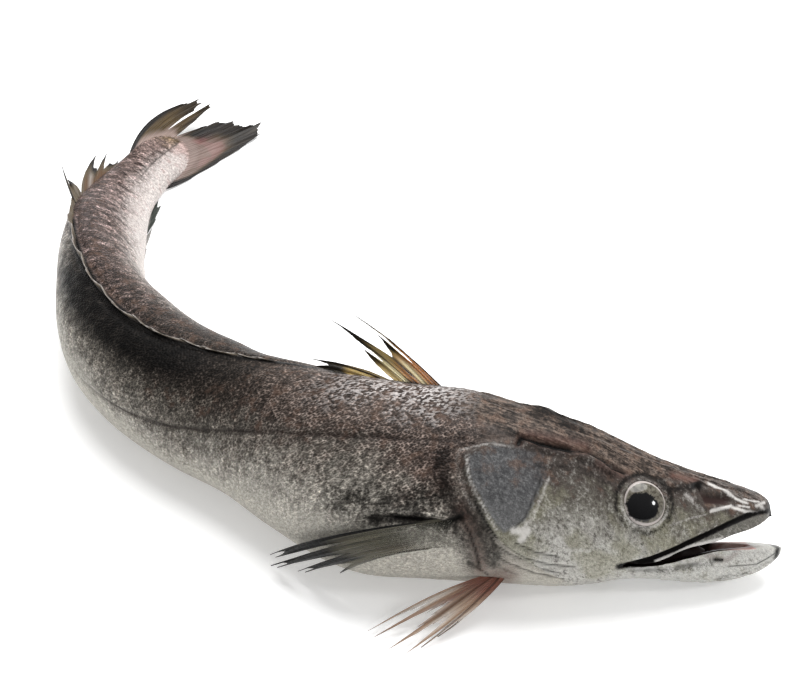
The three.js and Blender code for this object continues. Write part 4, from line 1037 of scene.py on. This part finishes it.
# The pectoral fins: grey skin you can see through, a black upper edge and black loose tips.
pectoral_tone = fin_material(
    "pectoral", web=(0.16, 0.148, 0.108), ray=(0.07, 0.065, 0.05), warm=(0.1, 0.08, 0.06),
    dark=(0.006, 0.006, 0.006), pale=(0.2, 0.2, 0.17), web_alpha=0.5)
dusky = lambda n, t, r: {
    "warm": 0.5 * fade(n, 3, 2) * bump(t - 0.32, 0.12), "pale": 0.5 * fade(t, 0.4, -0.25) * fade(n, 0.8, 0.5),
    "faint": most(0.8 * fade(t, 0.46, -0.3) * fade(n, 0.5, 0.6), 0.6 * fade(n, 5, 1.2) * fade(t, 0.8, -0.2)),
    "dark": most(
        fade(n, 0.75, -0.3) * fade(t, 0.05, 0.15), fade(t, 0.52, 0.15) * (n < 5.4), fade(t, 0.8, 0.1),
        0.6 * bump(n - np.round(n), 0.14) * fade(t, 0.3, 0.2)),
}
fin_sheet("right_pectoral_fin", pectoral_tone, side_rays([
    (95, -22.5, -7.5, -22, -137.5, 36, -40.3, -115, 5.5), (94.8, -22.5, -8.2, -21, -138.8, 35, -38.6, -115.9, 5.3),
    (94.3, -22.4, -9.6, -18.5, -140.6, 33.4, -40, -118.2, 4), (94, -22.2, -10.4, -17, -141.4, 32.6, -38, -118.9, 3.8),
    (93.4, -21.8, -11.4, -14, -141.8, 31.6, -31.7, -119.8, 3), (93, -21.5, -12.2, -12, -141.6, 31, -29.4, -120.6, 3.4),
    (92, -21, -13.5, -6, -140.6, 30, -18.6, -124.8, 7), (91, -20.5, -15, 4, -138, 29, -9, -133, 22)]),
    [0.9, 0.5, 0.9, 0.56, 0.9, 0.72, 0.9], dusky, placed=True, per_gap=10, fray=0.02, seed=8)
fin_sheet("left_pectoral_fin", pectoral_tone, side_rays([
    (95, 22.5, -7.5, -5, -80, 8, -34, -70, 2), (94.5, 22.5, -9, -6, -78, 6, -36, -66, 1),
    (94, 22, -10.5, -4, -76, 4, -32, -62, 1), (93, 21.5, -12, 0, -75, 3, -22, -61, 1),
    (92, 21, -13.5, 6, -76, 2, -8, -64, 1)]), [0.8, 0.85, 0.85, 0.9], dusky, placed=True, seed=9)

# The pelvic fins: red-brown at the root, then tan and brown rays with pale fringed skin between.
pelvic_tone = fin_material(
    "pelvic", web=(0.5, 0.38, 0.29), ray=(0.26, 0.16, 0.1), warm=(0.22, 0.085, 0.06),
    dark=(0.06, 0.03, 0.02), pale=(0.72, 0.66, 0.6), web_alpha=0.7)
rusty = lambda n, t, r: {
    "warm": most(0.9 * fade(t, 0.4, -0.25), 0.7 * bump(n - 1.4, 0.35) * fade(t, 0.9, -0.3)),
    "pale": 0.85 * fade(t, 0.35, 0.3) * (1 - bump(n - np.round(n), 0.2))
    + 0.6 * bump(n - 0.5, 0.25) * fade(t, 0.2, 0.2),
    "dark": most(0.7 * bump(n - 2, 0.2) * fade(t, 0.75, -0.2), 0.75 * bump(n - 3.6, 0.25) * fade(t, 0.85, -0.2),
                 0.6 * bump(n - 5, 0.2)),
    "faint": 0.55 * fade(r, 0.75, 0.2) * (1 - bump(n - np.round(n), 0.25)),
}
fin_sheet("right_pelvic_fin", pelvic_tone, side_rays([
    (84, -10, -22.5, 10, -136, 11, -10, -144, 1), (83, -10, -22.5, 12, -138, 9, -8, -146.5, 1),
    (82, -10, -22.5, 15, -141, 8, -4, -152, 1), (81, -9.5, -22.5, 18, -143, 6, 1, -154, 1),
    (80, -9.5, -22.5, 20, -142, 6, 6, -151, 1), (79, -9, -22.5, 23, -140, 6, 11, -146.5, 1)]),
    [0.7, 0.55, 0.65, 0.8, 0.85], rusty, placed=True, fray=0.3, seed=10)
fin_sheet("left_pelvic_fin", pelvic_tone, side_rays([
    (84, 10, -20, 22, -86, 4, 4, -80, 1), (83, 10, -20, 24, -84, 3, 7, -76, 1),
    (82, 10, -20, 27, -83, 2, 12, -74, 1), (81, 10, -20, 31, -84, 1.6, 20, -75, 1)]),
    [0.8, 0.8, 0.85], rusty, placed=True, fray=0.3, seed=11)

# ---------------------------------------------------------------- the picture
# A plain white floor, a large soft light from behind on the right and a paler one from the
# front, and the camera where the photographer stood.

bpy.ops.mesh.primitive_plane_add(size=8, location=(0, 0, 0))
floor = bpy.context.object
floor.name = "floor"
white, tree, surface = material("white_floor")
feed(surface, {
    "Base Color": (0.9, 0.9, 0.9), "Roughness": 0.9, "Specular IOR Level": 0.0,
    "Emission Color": (1, 1, 1), "Emission Strength": 0.31,
})
floor.data.materials.append(white)

world = bpy.data.worlds.new("studio")
bpy.context.scene.world = world
world.use_nodes = True
sky = world.node_tree
toward = node("ShaderNodeTexCoord", {}, sky).outputs["Generated"]
facing = node("ShaderNodeVectorMath", {0: toward, 1: (0.35, 0.55, 0.76)}, operation="DOT_PRODUCT").outputs["Value"]
feed(sky.nodes["Background"], {0: (1, 1, 1), 1: ranged(facing, -0.5, 0.9, 0.25, 0.5)})


def link_object(name, data):
    obj = bpy.data.objects.new(name, data)
    bpy.context.scene.collection.objects.link(obj)
    return obj


def soft_light(name, place, aim, size, power):
    lamp = bpy.data.lights.new(name, "AREA")
    lamp.shape, lamp.size, lamp.energy = "DISK", size, power
    obj = link_object(name, lamp)
    obj.location = place
    obj.rotation_euler = (Vector(aim) - Vector(place)).to_track_quat("-Z", "Y").to_euler()


soft_light("window", (0.18, 0.58, 1.42), (0, 0, 0), 1.6, 43)
soft_light("side_lamp", (1.1, -0.48, 0.76), (0.07, -0.11, 0.03), 0.2, 4)

VIEW_HEIGHT, VIEW_DISTANCE, PIXELS_PER_METRE, PICTURE_WIDTH, SENSOR = math.radians(38), 0.925, 2920, 802, 36
camera_data = bpy.data.cameras.new("camera")
camera = link_object("camera", camera_data)
camera.location = (
    0.002836, 0.007025 - VIEW_DISTANCE * math.cos(VIEW_HEIGHT), VIEW_DISTANCE * math.sin(VIEW_HEIGHT))
camera.rotation_euler = (math.pi / 2 - VIEW_HEIGHT, 0, 0)
camera_data.sensor_width = SENSOR
camera_data.lens = PIXELS_PER_METRE * VIEW_DISTANCE / PICTURE_WIDTH * SENSOR
bpy.context.scene.camera = camera
bpy.context.scene.view_settings.view_transform = "Standard"
